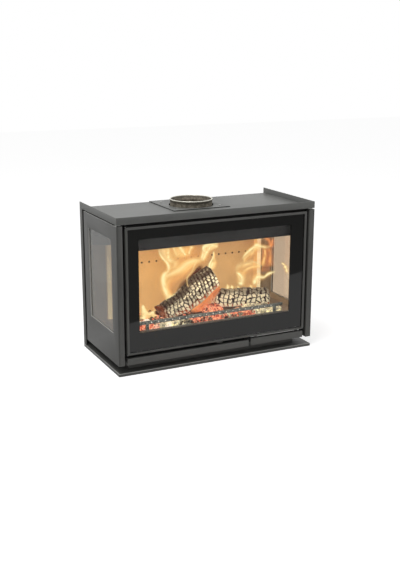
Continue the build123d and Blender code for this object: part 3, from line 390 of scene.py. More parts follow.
def new_effect(name, inputs, outputs, build):
    """A shared effect: a node group with named numbers going in and values coming out."""
    group = bpy.data.node_groups.new(name, "ShaderNodeTree")
    for socket, default in inputs.items():
        made = group.interface.new_socket(name=socket, in_out="INPUT", socket_type="NodeSocketFloat")
        made.default_value = default
    for socket in outputs:
        group.interface.new_socket(name=socket, in_out="OUTPUT", socket_type="NodeSocketFloat")
    graph = Graph(group)
    entry = group.nodes.new("NodeGroupInput").outputs
    leave = group.nodes.new("NodeGroupOutput").inputs
    for socket, value in build(graph, entry).items():
        group.links.new(value, leave[socket])


def grain_effect():
    """Fine orange peel of a sprayed coat, and the slow cloudiness of its colour."""
    def build(graph, entry):
        at = graph.place()
        fine = graph.noise(at, entry["Fine"], 2.0)
        peel = graph.noise(at, graph.times(entry["Fine"], 0.31), 2.0)
        cloud = graph.noise(at, entry["Cloud"], 4.0, 0.6)
        height = graph.plus(graph.times(fine, 0.6), graph.times(peel, 0.4))
        mottle = graph.plus(graph.times(cloud, 0.6), graph.times(fine, 0.4))
        return {"Height": height, "Mottle": graph.span(mottle, 0.3, 0.7)}
    new_effect("Sprayed grain", {"Fine": 1500.0, "Cloud": 9.0}, ("Height", "Mottle"), build)


def soot_effect():
    """Smoke that thickens upwards and in patches."""
    def build(graph, entry):
        at = graph.place((1, 1, 0.45))
        patch = graph.noise(at, entry["Patch"], 5.0, 0.62)
        rise = graph.span(graph.axes()["Z"], entry["Low"], entry["High"])
        return {"Soot": graph.times(graph.span(patch, 0.42, 0.70), rise)}
    new_effect("Soot", {"Patch": 7.0, "Low": 100 * MM, "High": 500 * MM}, ("Soot",), build)


def hole_effect():
    """Painted shade in and round the row of air holes: the distance to the nearest hole across and up."""
    def build(graph, entry):
        at = graph.axes()
        side = graph.math("SUBTRACT", graph.math("ABSOLUTE", at["X"]), entry["First"])
        across = graph.math("PINGPONG", side, graph.times(entry["Pitch"], 0.5))
        up = graph.math("SUBTRACT", at["Z"], entry["Height"])
        squares = (graph.times(value, value) for value in (across, up))
        reach = graph.math("SQRT", graph.plus(*squares))
        # The output named Soot carries painted shade, full in the holes and fading out round them
        return {"Soot": graph.span(reach, 4.5 * MM, 2.8 * MM)}
    row = {"First": 28 * MM, "Pitch": 29.8 * MM, "Height": 320.5 * MM}
    new_effect("Air hole shade", row, ("Soot",), build)


def paint_material(name, settings, paint, cut_tone=None, cut=None):
    """A sprayed stove paint: satin, mottled, with a fine peel.

    Cut works out where the sheet's cut edges show, which take a colour of their own that paints shade and
    highlights on them.
    """
    def build(graph):
        grain = graph.shared("Sprayed grain", Fine=1500.0)
        dark, light = (np.array(paint) * k for k in (0.88, 1.13))
        base = graph.mix(grain["Mottle"], dark, light)
        if cut:
            base = graph.mix(cut(graph, settings), base, cut_tone)
        smooth, rough = settings.roughness - 0.04, settings.roughness + 0.05
        return {
            "Base Color": base,
            "Roughness": graph.span(grain["Mottle"], 0, 1, smooth, rough),
            "Normal": graph.bump(grain["Height"], 0.05 * MM, 0.5),
        }
    return new_material(name, {}, build)


def sooty_material(name, paint):
    """Matt heat-resistant paint with a film of soot."""
    black = (0.012, 0.010, 0.009)

    def build(graph):
        soot = graph.shared("Soot")["Soot"]
        grain = graph.shared("Sprayed grain", Fine=900.0)
        base = graph.mix(grain["Mottle"], np.array(paint) * 0.8, np.array(paint) * 1.3)
        return {
            "Base Color": graph.mix(soot, base, black),
            "Normal": graph.bump(grain["Height"], 0.08 * MM, 0.6),
        }
    return new_material(name, {"Roughness": 0.72}, build)


def board_tone(graph, settings, tint, spot, coarse, pores, lit_clean_face):
    """The board's colour: grains, flakes and clouds, browner above and to the right, then its smoke marks."""
    at = graph.place()
    flakes = graph.span(graph.cells(at, 420.0), 0.12, 0.02)
    cloud = graph.noise(at, 6.0, 4.0, 0.6)
    soot = graph.shared("Soot", Patch=5.0, Low=150 * MM, High=620 * MM)["Soot"]
    board = np.array(tint)
    base = graph.mix(graph.span(coarse, 0.3, 0.7), board * 0.80, board * 1.15)
    base = graph.mix(graph.times(flakes, 0.6), base, settings.flake)
    base = graph.mix(graph.span(cloud, 0.35, 0.75, 0.0, 0.35), base, board * 0.72)
    above_holes = graph.span(spot["Z"], 290 * MM, 360 * MM)
    to_right = graph.span(spot["X"], -150 * MM, 80 * MM, 0.35, 1.0)
    in_clouds = graph.span(cloud, 0.3, 0.6, 0.25, 0.75)
    browned = graph.times(graph.times(above_holes, to_right), in_clouds)
    base = graph.mix(browned, base, settings.scorch)
    # Painted shade: the board turns greyer and darker towards the right, where less of the fire's light falls
    right_side_shade = graph.span(spot["X"], -120 * MM, 80 * MM, 0.0, 0.55)
    base = graph.mix(right_side_shade, base, board * (0.60, 0.68, 0.85))
    base = graph.mix(lit_clean_face, settings.board, base)
    base = graph.mix(graph.times(soot, 0.55), base, settings.soot)
    base = graph.mix(graph.times(pores, 0.5), base, settings.soot)
    # Painted shade in the air holes
    return graph.mix(graph.shared("Air hole shade")["Soot"], base, settings.hole_shade)


def board_material(name, settings, tint, glow, dimmed=0.0, bright=(0.0, 1.0)):
    """Pressed vermiculite with mica flakes and smoke marks.

    The fire's light on it fades upwards, and to the right by the share dimmed. Where it isn't as far from the
    middle as the two values of bright say, it is as brown and as dim as a brick.
    """
    def build(graph):
        spot = graph.axes()
        coarse = graph.noise(graph.place(), 260.0, 4.0, 0.7)
        pores = graph.span(graph.noise(graph.place(), 600.0, 2.0), 0.34, 0.26)
        lit_clean_face = graph.within(graph.math("ABSOLUTE", spot["X"]), *bright)
        base = board_tone(graph, settings, tint, spot, coarse, pores, lit_clean_face)
        upwards = graph.span(spot["Z"], 120 * MM, 400 * MM, 0.0, 0.6)
        rightwards = graph.span(spot["X"], -50 * MM, 50 * MM, 0.0, dimmed)
        shade = graph.math("MAXIMUM", upwards, rightwards)
        # Painted shade: off the strips' front faces the fire's glow is dimmed as on a brick
        shade = graph.math("MAXIMUM", shade, graph.span(lit_clean_face, 1.0, 0.0, 0.0, 0.72))
        height = graph.math("SUBTRACT", coarse, graph.times(pores, 0.6))
        return {
            "Base Color": base,
            "Emission Color": graph.mix(shade, base, BLACK),
            "Normal": graph.bump(height, 0.35 * MM, 0.55),
        }
    return new_material(name, {"Roughness": 0.92, "Emission Strength": glow}, build)


def pane_material(name, tint, index):
    """A clear pane. Rays from lamps pass through it, so that what is behind it is lit."""
    material = new_material(name, {
        "Base Color": tint, "Roughness": 0.0, "IOR": index, "Transmission Weight": 1.0})
    graph = Graph(material.node_tree)
    glass = material.node_tree.nodes["Principled BSDF"].outputs[0]
    clear = graph.node("BsdfTransparent", {"Color": colour(tint)}).outputs[0]
    to_lamp = graph.node("LightPath").outputs["Is Shadow Ray"]
    graph.surface(graph.node("MixShader", {0: to_lamp, 1: glass, 2: clear}).outputs[0])
    return material


def print_material(settings):
    """Black ceramic print under the gloss of the glass."""
    def build(graph):
        speck = graph.noise(graph.place(), 3000.0, 1.0)
        tint = np.array(settings.print_tone)
        return {"Base Color": graph.mix(speck, tint * 0.8, tint * 1.2)}
    return new_material("Printed border", {"Roughness": 0.03, "IOR": 1.5}, build)


def rope_material(name, dark, light):
    """Braided glass fibre: the rope grey with heat, the tape as good as new."""
    def build(graph):
        inputs = {"Vector": graph.place(), "Scale": 220.0, "Distortion": 1.2}
        strands = graph.node("TexWave", inputs, bands_direction="DIAGONAL").outputs["Fac"]
        return {
            "Base Color": graph.mix(strands, dark, light),
            "Normal": graph.bump(strands, 0.5 * MM, 0.8),
        }
    return new_material(name, {"Roughness": 0.95}, build)


def iron_material(name, settings, ash_top=None):
    """A dark casting: pitted, uneven in colour and slightly metallic, with ash on it up to a height."""
    tint = np.array(settings.dark_iron)

    def build(graph):
        at = graph.place()
        pits = graph.noise(at, 320.0, 4.0, 0.7)
        blotch = graph.noise(at, 120.0, 2.0, 0.65)
        base = graph.mix(graph.span(pits, 0.3, 0.7), tint * 0.55, tint * 1.35)
        base = graph.mix(graph.span(blotch, 0.46, 0.58, 0.0, 0.75), base, tint * 0.22)
        if ash_top:
            lying = graph.span(graph.axes()["Z"], ash_top, ash_top - settings.ash_height / 2)
            film = graph.times(lying, graph.span(pits, 0.35, 0.55))
            base = graph.mix(film, base, settings.guard_ash)
        return {
            "Base Color": base,
            "Roughness": graph.span(pits, 0.3, 0.7, 0.42, 0.68),
            "Normal": graph.bump(pits, 0.3 * MM, 0.8),
        }
    return new_material(name, {"Metallic": 0.2}, build)


def collar_material(settings, top):
    """The flue collar's casting: pitted, with a machined lip painted near white as a highlight and a band of
    painted shadow under its bead.
    """
    lip_low, lip_high = top - 2.2 * MM, top - 1.0 * MM
    shade_band_low, shade_band_high = top - 14 * MM, top - 7 * MM
    tint = np.array(settings.iron)

    def build(graph):
        at = graph.place()
        pits = graph.noise(at, 420.0, 4.0, 0.7)
        blotch = graph.noise(at, 70.0, 2.0, 0.6)
        level = graph.axes()["Z"]
        lip = graph.span(level, lip_low, lip_high)
        below = graph.times(graph.span(level, shade_band_low, shade_band_high), graph.span(lip, 0, 1, 1, 0))
        base = graph.mix(graph.span(pits, 0.3, 0.7), tint * 0.5, tint * 1.5)
        base = graph.mix(graph.span(blotch, 0.42, 0.60, 0.0, 0.6), base, tint * 0.3)
        # Painted shadow: a dark band under the bead
        base = graph.mix(graph.times(below, 0.7), base, tint * 0.16)
        # Painted highlight on the machined lip
        base = graph.mix(graph.times(lip, 0.8), base, settings.lip_highlight)
        worn = graph.span(lip, 0, 1, 0.55, 0.3)
        return {
            "Base Color": base,
            "Roughness": graph.plus(worn, graph.span(pits, 0.3, 0.7, -0.1, 0.1)),
            "Normal": graph.bump(pits, 0.35 * MM, 0.6),
        }
    return new_material("Raw casting", {"Metallic": 0.55}, build)


def steel_material():
    """Zinc-plated steel: bright, finely brushed and a little dull in patches."""
    def build(graph):
        brushed = graph.noise(graph.place((1, 1, 30)), 240.0, 2.0)
        dull = graph.noise(graph.place(), 90.0, 3.0)
        return {
            "Base Color": graph.mix(dull, (0.42, 0.42, 0.41), (0.60, 0.60, 0.58)),
            "Roughness": graph.span(brushed, 0.3, 0.7, 0.25, 0.42),
        }
    return new_material("Bright steel", {"Metallic": 0.9}, build)


def wood_material(settings):
    """Charred wood: black in the cracks, ash on the blocks, a glow deep down where it still burns."""
    tint = np.array(settings.char)

    def build(graph):
        powder = graph.noise(graph.place(), 500.0, 3.0, 0.7)
        ash = graph.times(graph.attribute("ash"), graph.span(powder, 0.25, 0.6, 0.55, 1.15))
        char = graph.mix(powder, tint * 0.6, tint * 1.9)
        lit = graph.mix(graph.times(ash, settings.lit), BLACK, settings.ash)
        return {
            "Base Color": graph.mix(ash, char, settings.ash),
            "Emission Color": graph.mix(graph.attribute("glow"), lit, settings.ember),
            "Normal": graph.bump(powder, 0.6 * MM, 0.7),
        }
    return new_material("Charred wood", {"Roughness": 0.95, "Emission Strength": 0.9}, build)


def ember_material(settings):
    """Embers: glowing lumps broken up by cream-coloured ash and black char."""
    def build(graph):
        at = graph.place()
        patch = graph.noise(at, 95.0, 3.0, 0.6)
        spark = graph.noise(graph.place((1.1, 1.2, 0.9)), 130.0, 2.0, 0.5)
        powder = graph.noise(at, 380.0, 3.0, 0.7)
        broken = graph.plus(graph.times(patch, 0.9), graph.times(powder, 0.5))
        veil = graph.span(graph.plus(graph.attribute("ash"), broken), 1.10, 1.62)
        glow = graph.attribute("glow")
        fire = graph.span(graph.plus(glow, graph.times(broken, -0.9)), 0.0, 0.30)
        char = graph.mix(powder, (0.015, 0.010, 0.008), (0.09, 0.05, 0.035))
        shine = graph.times(fire, graph.span(veil, 0, 1, 1.0, 0.15))
        shine = graph.times(shine, graph.span(spark, 0.32, 0.44, 0.25, 1.0))
        tint = graph.mix(graph.span(spark, 0.44, 0.60), settings.hot, settings.hottest)
        tint = graph.mix(graph.span(glow, 1.05, 1.5), tint, settings.white)
        shown = graph.times(graph.span(spark, 0.40, 0.56), settings.lit)
        lit = graph.mix(graph.times(veil, shown), BLACK, settings.ash)
        return {
            "Base Color": graph.mix(veil, char, settings.ash),
            "Emission Color": graph.mix(shine, lit, tint),
            "Normal": graph.bump(broken, 2.0 * MM, 0.8),
        }
    return new_material("Embers", {"Roughness": 0.9, "Emission Strength": settings.glow}, build)


def flame_material(settings):
    """A flame: its heat, which gives its colour, and how much it covers come from its own mesh."""
    def build(graph):
        heat = graph.attribute("fire")
        cool = graph.mix(graph.span(heat, -0.5, 0.0), settings.smoke, settings.edge)
        cool = graph.mix(graph.span(heat, 0.0, 0.45), cool, settings.body)
        return {
            "Emission Color": graph.mix(graph.span(heat, 0.35, 1.0), cool, settings.core),
            "Alpha": graph.attribute("cover"),
        }
    material = new_material("Flame", {**SHINING, "Emission Strength": settings.strength}, build)
    material.cycles.emission_sampling = "NONE"
    return material


# Meshes


def grid_faces(rows, columns, around=False):
    """The quads of a grid of points, one row after another. Around joins the last column to the first."""
    across = columns if around else columns - 1
    row, column = np.meshgrid(np.arange(rows - 1), np.arange(across), indexing="ij")
    after = (column + 1) % columns
    this, above = row * columns, (row + 1) * columns
    return np.stack((this + column, this + after, above + after, above + column), -1).reshape(-1, 4)


def repeated(faces, size, count):
    """The faces of many like meshes that follow one another, each with as many points as size says."""
    return (faces[None] + (np.arange(count) * size)[:, None, None]).reshape(-1, 4)


def new_piece(name, points, faces, material, body, slot, closed=True, **attributes):
    """A piece from points and quads. Poles are merged, and a closed piece faces outwards."""
    mesh = bpy.data.meshes.new(name)
    mesh.from_pydata(np.asarray(points, float).reshape(-1, 3).tolist(), [], faces.tolist())
    for key, values in attributes.items():
        layer = mesh.attributes.new(key, "FLOAT", "POINT")
        layer.data.foreach_set("value", np.asarray(values, np.float32).ravel())
    merge(mesh, 0.01 * MM, closed)
    return placed(bpy.data.objects.new(name, mesh), material, body)


def merge(mesh, distance, outwards):
    """Joins points that lie within a distance, turns a closed mesh's faces outwards and shades it smooth."""
    work = bmesh.new()
    work.from_mesh(mesh)
    bmesh.ops.remove_doubles(work, verts=work.verts, dist=distance)
    if outwards:
        bmesh.ops.recalc_face_normals(work, faces=work.faces)
    work.to_mesh(mesh)
    work.free()
    mesh.polygons.foreach_set("use_smooth", np.ones(len(mesh.polygons), bool))


def shade_flat(piece):
    """Shades each face of a piece as a flat one."""
    faces = piece.data.polygons
    faces.foreach_set("use_smooth", np.zeros(len(faces), bool))


def placed(piece, material, body):
    """A finished object in the scene, on its body, with its material."""
    bpy.context.scene.collection.objects.link(piece)
    piece.data.materials.clear()
    piece.data.materials.append(material)
    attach(piece, body)
    return piece


def soft_copy(node, material, radius, clamp=True):
    """A packed sheet with a small radius on its edges, which clamp keeps from running into one another."""
    source = frame["nodes"][node]
    mesh = source.data.copy()
    merge(mesh, 0.001 * MM, False)
    piece = placed(bpy.data.objects.new(node + "_soft", mesh), material, source["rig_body"])
    bevel = piece.modifiers.new("Soft edges", "BEVEL")
    bevel.width = radius
    bevel.segments = 2
    bevel.limit_method = "ANGLE"
    bevel.angle_limit = radians(40)
    bevel.harden_normals = True
    bevel.loop_slide = False
    bevel.use_clamp_overlap = clamp
    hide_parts(node)


def dressed(node, material):
    """A packed node that keeps its mesh and takes a better material."""
    data = frame["nodes"][node].data
    data.materials.clear()
    data.materials.append(material)


def waves(shape, cells, seed, around=False):
    """Smooth random hills between 0 and 1: random heights on a coarse grid, eased between with cosines."""
    coarse = np.random.default_rng(seed).random(cells)
    for axis in (0, 1):
        count = cells[axis]
        closed = around and axis == 1
        last = count if closed else count - 1
        at = np.linspace(0, last, shape[axis], endpoint=not closed)
        low = np.floor(at).astype(int) % count
        high = (low + 1) % count if closed else np.minimum(low + 1, count - 1)
        ease = (1 - np.cos((at % 1) * pi)) / 2
        ease = ease[:, None] if axis == 0 else ease[None, :]
        coarse = np.take(coarse, low, axis) * (1 - ease) + np.take(coarse, high, axis) * ease
    return coarse


def through(points, at):
    """A smooth curve through points, at shares of its count: Catmull-Rom, cubic between each two points."""
    points = np.asarray(points, float)
    ends = np.vstack([2 * points[0] - points[1], points, 2 * points[-1] - points[-2]])
    place = np.asarray(at) * (len(points) - 1)
    index = np.minimum(place.astype(int), len(points) - 2)
    t = (place - index)[:, None]
    p0, p1, p2, p3 = (ends[index + k] for k in range(4))
    return 0.5 * (2 * p1 + (p2 - p0) * t + (2 * p0 - 5 * p1 + 4 * p2 - p3) * t**2
                  + (3 * p1 - p0 - 3 * p2 + p3) * t**3)


def surface_normals(points):
    """Unit normals of a grid whose columns close: the cross product of its two directions."""
    along = np.gradient(points, axis=0)
    across = np.roll(points, -1, 1) - np.roll(points, 1, 1)
    normal = np.cross(along, across)
    return normal / np.maximum(np.linalg.norm(normal, axis=2, keepdims=True), 1e-12)


def circle(sides):
    """Cosine and sine of even steps round a circle."""
    angle = np.linspace(0, 2 * pi, sides, endpoint=False)
    return np.cos(angle), np.sin(angle)


def lathe(name, profile, centre, sides, material, body, slot):
    """A turned piece: a closed profile of radius and height carried round an upright axis."""
    radius, height = np.array(profile).T[..., None]
    cosine, sine = circle(sides)
    points = np.stack([centre.x + radius * cosine, centre.y + radius * sine, height + 0 * cosine], -1)
    return new_piece(name, points, grid_faces(len(profile), sides, True), material, body, slot)


# Casing


TRAY_SHEETS = ("top_tray",)
CASING_SHEETS = (
    "front_post_right", "front_post_left", "rear_casing", "lower_strip", "handle_strip", "air_lever",
)
PANELS = ("side_panel_right", "side_panel_left")
PLAIN_SHEETS = ("plinth_frame", "body_bottom", "handle_lugs")
INNER_SHEETS = ("front_frame", "air_guide", "hinge_brackets", "latch_keeper")
FIRELIT_BROWN_SHEETS = ("rear_corner_plates", "firebox_side_right", "firebox_side_left")
INNER_NODES = (
    "firebox_back", "firebox_top", "hearth_floor", "baffle_rails", "upper_deflector", "air_duct",
    "air_inlet", "ash_box", "ash_pan", "air_damper",
)


def cover_edge(graph, settings):
    """Where shadow is painted on the cover plate's cut edge: all of it under the plate's face."""
    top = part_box("flue_cover_plate")[1].z - settings.edge_shadow_depth
    return graph.span(graph.axes()["Z"], top, top - settings.edge_shadow_depth / 5)


def plate_edge(graph, settings):
    """Where a highlight is painted on the base plate: along its upper edges."""
    low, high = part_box("base_plate")
    width = settings.base_highlight_width
    at = graph.axes()
    across = graph.within(at["X"], low.x + width, high.x - width)
    along = graph.within(at["Y"], low.y + width, high.y - width)
    rim = graph.math("SUBTRACT", 1.0, graph.times(across, along))
    return graph.times(rim, graph.span(at["Z"], high.z - width, high.z - width / 2))


def window_edge(graph, settings):
    """Where a highlight is painted on a side panel's cut edges: round its window and along its top."""
    width = settings.panel_highlight_width
    at = graph.axes()
    across = graph.within(at["Y"], settings.window_front - width, settings.window_rear + width)
    up = graph.within(at["Z"], settings.window_low - width, settings.window_high + width)
    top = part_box(PANELS[0])[1].z
    rim = graph.within(at["Z"], top - width, top + width)
    return graph.math("MAXIMUM", graph.times(across, up), rim)


class INSERT_OT_casing(bpy.types.Operator):
    """Paints the casing and firebox sheets and softens their edges."""

    bl_idname = "insert.casing"
    bl_label = "Casing"

    def execute(self, context):
        settings = context.scene.insert_casing
        paint = paint_material("Stove paint", settings, settings.paint)
        # Painted light: the tray and the cover plate take a lighter copy of the stove paint
        tray = paint_material("Lit tray paint", settings, settings.lit_tray_paint)
        inner = sooty_material("Firebox paint", settings.inner_paint)
        # Partly painted light: heat-browned plates in a tan that stands in for the firelight on them
        browned = sooty_material("Firelit browned paint", settings.browned)
        # Painted shadow on the cover plate's cut edge
        cover = paint_material("Cover paint with painted shadow", settings, settings.lit_tray_paint, settings.seam, cover_edge)
        # Painted highlight along the base plate's upper edges
        worn = paint_material("Base paint with painted highlight", settings, settings.paint, settings.worn, plate_edge)
        # Painted highlight on the side panels' cut edges
        panel_highlight = paint_material("Panel paint with painted highlight", settings, settings.paint, settings.panel_highlight, window_edge)
        for nodes, material in ((TRAY_SHEETS, tray), (CASING_SHEETS, paint), (INNER_SHEETS, inner),
                                (FIRELIT_BROWN_SHEETS, browned), (("flue_cover_plate",), cover),
                                (("base_plate",), worn), (PANELS, panel_highlight)):
            edge = settings.thin_edge if material is cover else settings.edge
            for node in nodes:
                soft_copy(node, material, edge)
        soft_copy("door_frame", paint, settings.lip_edge, clamp=False)
        for nodes, material in ((PLAIN_SHEETS, paint), (INNER_NODES, inner)):
            for node in nodes:
                dressed(node, material)
        return {"FINISHED"}


# Lining


BACK_BRICKS = ("back_brick_right", "back_brick_left")
HEARTH_BRICKS = ("hearth_brick_front", "hearth_brick_rear", "hearth_bricks_side")
BAFFLES = ("baffle_right", "baffle_left")


class INSERT_OT_lining(bpy.types.Operator):
    """Gives the vermiculite boards their grain and broken edges."""

    bl_idname = "insert.lining"
    bl_label = "Lining"

    def execute(self, context):
        settings = context.scene.insert_lining
        board = board_material("Vermiculite", settings, settings.board, settings.glow)
        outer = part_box("corner_strips")[1].x - settings.edge
        inner = outer - settings.strip_width + 2 * settings.edge
        strip = board_material("Corner vermiculite", settings, settings.strip, settings.strip_glow,
                               settings.strip_dimmed, (inner, outer))
        sooted = board_material("Sooted vermiculite", settings, settings.sooted, 0)
        hearth = board_material("Ashy vermiculite", settings, settings.hearth, 0)
        for nodes, material in ((BACK_BRICKS, board), (("corner_strips",), strip), (BAFFLES, sooted),
                                (HEARTH_BRICKS, hearth)):
            for node in nodes:
                soft_copy(node, material, settings.edge, clamp=False)
        return {"FINISHED"}


# Glass


def rectangle(left, low, right, high):
    """The corners of a rectangle, in turn."""
    return (left, low), (right, low), (right, high), (left, high)


def pane(name, node, edge, material, body, slot):
    """A pane with ground edges: a rectangle drawn in by the edge at both faces, each closed at its middle."""
    low, high = (np.array(corner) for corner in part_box(node))
    middle, half = (low + high) / 2, (high - low) / 2
    thin = int(np.argmin(half))
    wide = [axis for axis in range(3) if axis != thin]
    sides = np.array(rectangle(-1, -1, 1, 1))
    insets = (half, edge, 0, 0, edge, half)
    rows = np.tile(middle, (len(insets), 4, 1))
    for row, depth, inset in zip(rows, (low, low, low + edge, high - edge, high, high), insets):
        row[:, thin] = depth[thin]
        row[:, wide] += sides * (half - inset)[wide]
    piece = new_piece(name, rows, grid_faces(len(rows), 4, True), material, body, slot)
    shade_flat(piece)
    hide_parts(node)


def printed_border(settings, material):
    """The black border fused onto the glass: a flat ring from the frame's lip to the clear window."""
    low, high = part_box("door_glass")
    back = low.y
    front = back - settings.print_depth
    lip = settings.lip
    outer = rectangle(low.x + lip, low.z + lip, high.x - lip, high.z - lip)
    inner = rectangle(settings.window_left, settings.window_low, settings.window_right, settings.window_high)
    rows = []
    for corners, depth in ((outer, front), (inner, front), (inner, back), (outer, back), (outer, front)):
        rows.append([(x, depth, z) for x, z in corners])
    piece = new_piece("door_glass_border", rows, grid_faces(len(rows), 4, True), material,
                      "door", "front_glass")
    shade_flat(piece)


class INSERT_OT_glass(bpy.types.Operator):
    """Makes the front pane with its black border, the side panes and the seals."""

    bl_idname = "insert.glass"
    bl_label = "Glass"

    def execute(self, context):
        settings = context.scene.insert_glass
        clear = pane_material("Front glass", settings.front_tint, settings.front_index)
        # Painted light: the right pane's tint stands in for the firelight reflected in it
        firelit_right_glass = pane_material("Right glass", settings.right_firelit_tint, settings.right_index)
        grey = pane_material("Left glass", settings.left_tint, settings.left_index)
        pane("door_pane", "door_glass", settings.ground, clear, "door", "front_glass")
        printed_border(settings, print_material(settings))
        for node, material in (("side_glass_right", firelit_right_glass), ("side_glass_left", grey)):
            pane(node + "_pane", node, settings.ground, material, "root", "side_glass")
        rope = rope_material("Seal rope", settings.rope_dark, settings.rope_light)
        tape = rope_material("Fibre tape", settings.tape_dark, settings.tape_light)
        for node, material in (("side_gaskets", tape), ("door_glass_tape", rope), ("door_rope_seal", rope)):
            dressed(node, material)
        return {"FINISHED"}


# Flue collar, castings and fasteners


COLLAR_SIDES = 144
HOLE_SIDES = 12
FASTENERS = (
    "spacer_tubes", "casing_screws", "flange_screws", "side_glass_clips", "door_glass_clips", "hinge_pins",
    "handle_shaft", "latch_tongue",
)


def collar_profile(settings):
    """The collar's cut: flange, wall, bead and lip, then back down the bore."""
    low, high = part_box("flue_collar")
    flange = (high.x - low.x) / 2
    bore, wall = settings.bore, settings.wall
    bead = wall + settings.bead
    foot = low.z + settings.flange
    top = high.z
    return [
        (bore, low.z), (flange - MM, low.z), (flange, low.z + MM), (flange, foot - MM), (flange - MM, foot),
        (wall + 3 * MM, foot), (wall + MM, foot + 0.8 * MM), (wall, foot + 3 * MM), (wall, top - 7.5 * MM),
        ((wall + bead) / 2, top - 6.8 * MM), (bead, top - 5.5 * MM), (bead, top - 1.2 * MM),
        (bead * 0.6 + wall * 0.4, top - 0.3 * MM), (wall, top), (bore + 0.8 * MM, top),
        (bore, top - 0.8 * MM), (bore, low.z),
    ]


def lit_holes(settings):
    """The fire seen through the guard's drilled holes: a row of short discs inside them."""
    low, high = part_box("log_guard")
    steps = int(high.x / settings.hole_pitch)
    middles = np.arange(-steps, steps + 1) * settings.hole_pitch
    reach = np.array((0, 1, 1, 0))[:, None] * settings.hole_radius
    depth = np.array((2, 2, 4, 4))[:, None] * MM
    cosine, sine = circle(HOLE_SIDES)
    level = high.z - settings.hole_drop
    disc = np.stack([reach * cosine, low.y + depth + 0 * sine, level + reach * sine], -1)
    points = disc + np.stack([middles, 0 * middles, 0 * middles], -1)[:, None, None]
    faces = repeated(grid_faces(len(reach), HOLE_SIDES, True), len(reach) * HOLE_SIDES, len(middles))
    light = new_material("Fire behind the holes", {
        **SHINING, "Emission Color": settings.hole_fire, "Emission Strength": settings.hole_glow})
    new_piece("guard_hole_light", points, faces, light, "root", "embers")


class INSERT_OT_collar(bpy.types.Operator):
    """Makes the flue collar and dresses the log guard, the grate and the fasteners."""

    bl_idname = "insert.collar"
    bl_label = "Collar and fasteners"

    def execute(self, context):
        settings = context.scene.insert_collar
        low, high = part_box("flue_collar")
        raw = collar_material(settings, high.z)
        collar = lathe("flue_collar_turned", collar_profile(settings), (low + high) / 2, COLLAR_SIDES,
                       raw, "root", "collar_casting")
        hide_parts("flue_collar")
        ash_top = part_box("log_guard")[0].z + settings.ash_height
        soft_copy("log_guard", iron_material("Ashy casting", settings, ash_top), settings.guard_edge)
        dressed("grate", iron_material("Dark casting", settings))
        lit_holes(settings)
        steel = steel_material()
        for node in FASTENERS:
            dressed(node, steel)
        return {"FINISHED"}


# Logs


# The split outline, as shares of the log's width and height
LOG_OUTLINE = (
    (-0.50, -0.42), (-0.18, -0.50), (0.34, -0.44), (0.50, -0.12),
    (0.44, 0.30), (0.12, 0.50), (-0.30, 0.44), (-0.48, 0.06),
)
# Ends, width, height and pitch of the cracks in mm, and how many cracks run along the log. Burnt: between
# which shares of the height ash gives way to char. Faint: how much ash stays above that. Ashy: how much lies
# on every block. Charred: 1 where the foot is black. Worn and belly: by place along the log, the share burnt
# away on top and the growth of the lower side.
LOGS = {
    "log_leaning": {
        "start": (-159.6, -13.9, 160.1), "end": (62.5, 5.7, 272), "width": 84, "height": 88, "seed": 4,
        "pitch": 14.5, "bands": 22, "burnt": (0.14, 0.40), "faint": 0.10, "ashy": 0.32, "charred": 1,
        "worn": ((0, 0.40), (0.12, 0.56), (0.42, 0.56), (0.60, 0.20), (0.72, 0), (1, 0)),
        "belly": ((0, 1), (0.2, 1.1), (0.35, 1.38), (0.6, 1.38), (1, 1.12)),
    },
    "log_lying": {
        "start": (84.7, 33.5, 173.8), "end": (305, 5.7, 160.1), "width": 78, "height": 74, "seed": 9,
        "pitch": 18.0, "bands": 15, "burnt": (0.06, 0.30), "faint": 0.16, "ashy": 0.90, "charred": 0,
        "worn": ((0, 0), (1, 0)), "belly": ((0, 1), (1, 1)),
    },
}


def log_outline(count, width, height):
    """The split outline, walked at even steps and averaged with its neighbours so that corners round."""
    corners = np.array(LOG_OUTLINE + LOG_OUTLINE[:1]) * (width, height)
    steps = np.linalg.norm(np.diff(corners, axis=0), axis=1)
    walked = np.concatenate([[0], np.cumsum(steps)])
    at = np.linspace(0, walked[-1], count, endpoint=False)
    ring = np.stack([np.interp(at, walked, corners[:, k]) for k in (0, 1)], -1)
    reach = max(2, count // 40)
    return sum(np.roll(ring, k, 0) for k in range(-reach, reach + 1)) / (2 * reach + 1), walked[-1]


def log_axes(start, end):
    """The log's own directions: along it, level across it, and the third square to both."""
    along = (end - start) / np.linalg.norm(end - start)
    level = np.cross((0, 0, 1), along)
    level = level / np.linalg.norm(level)
    return along, level, np.cross(along, level)


def scatter(first, second, seed):
    """A number from 0 to 1 for each pair of whole numbers, from the fraction of a large sine."""
    value = np.sin(first * 12.9898 + second * 78.233 + seed * 37.719) * 43758.5453
    return value - np.floor(value)


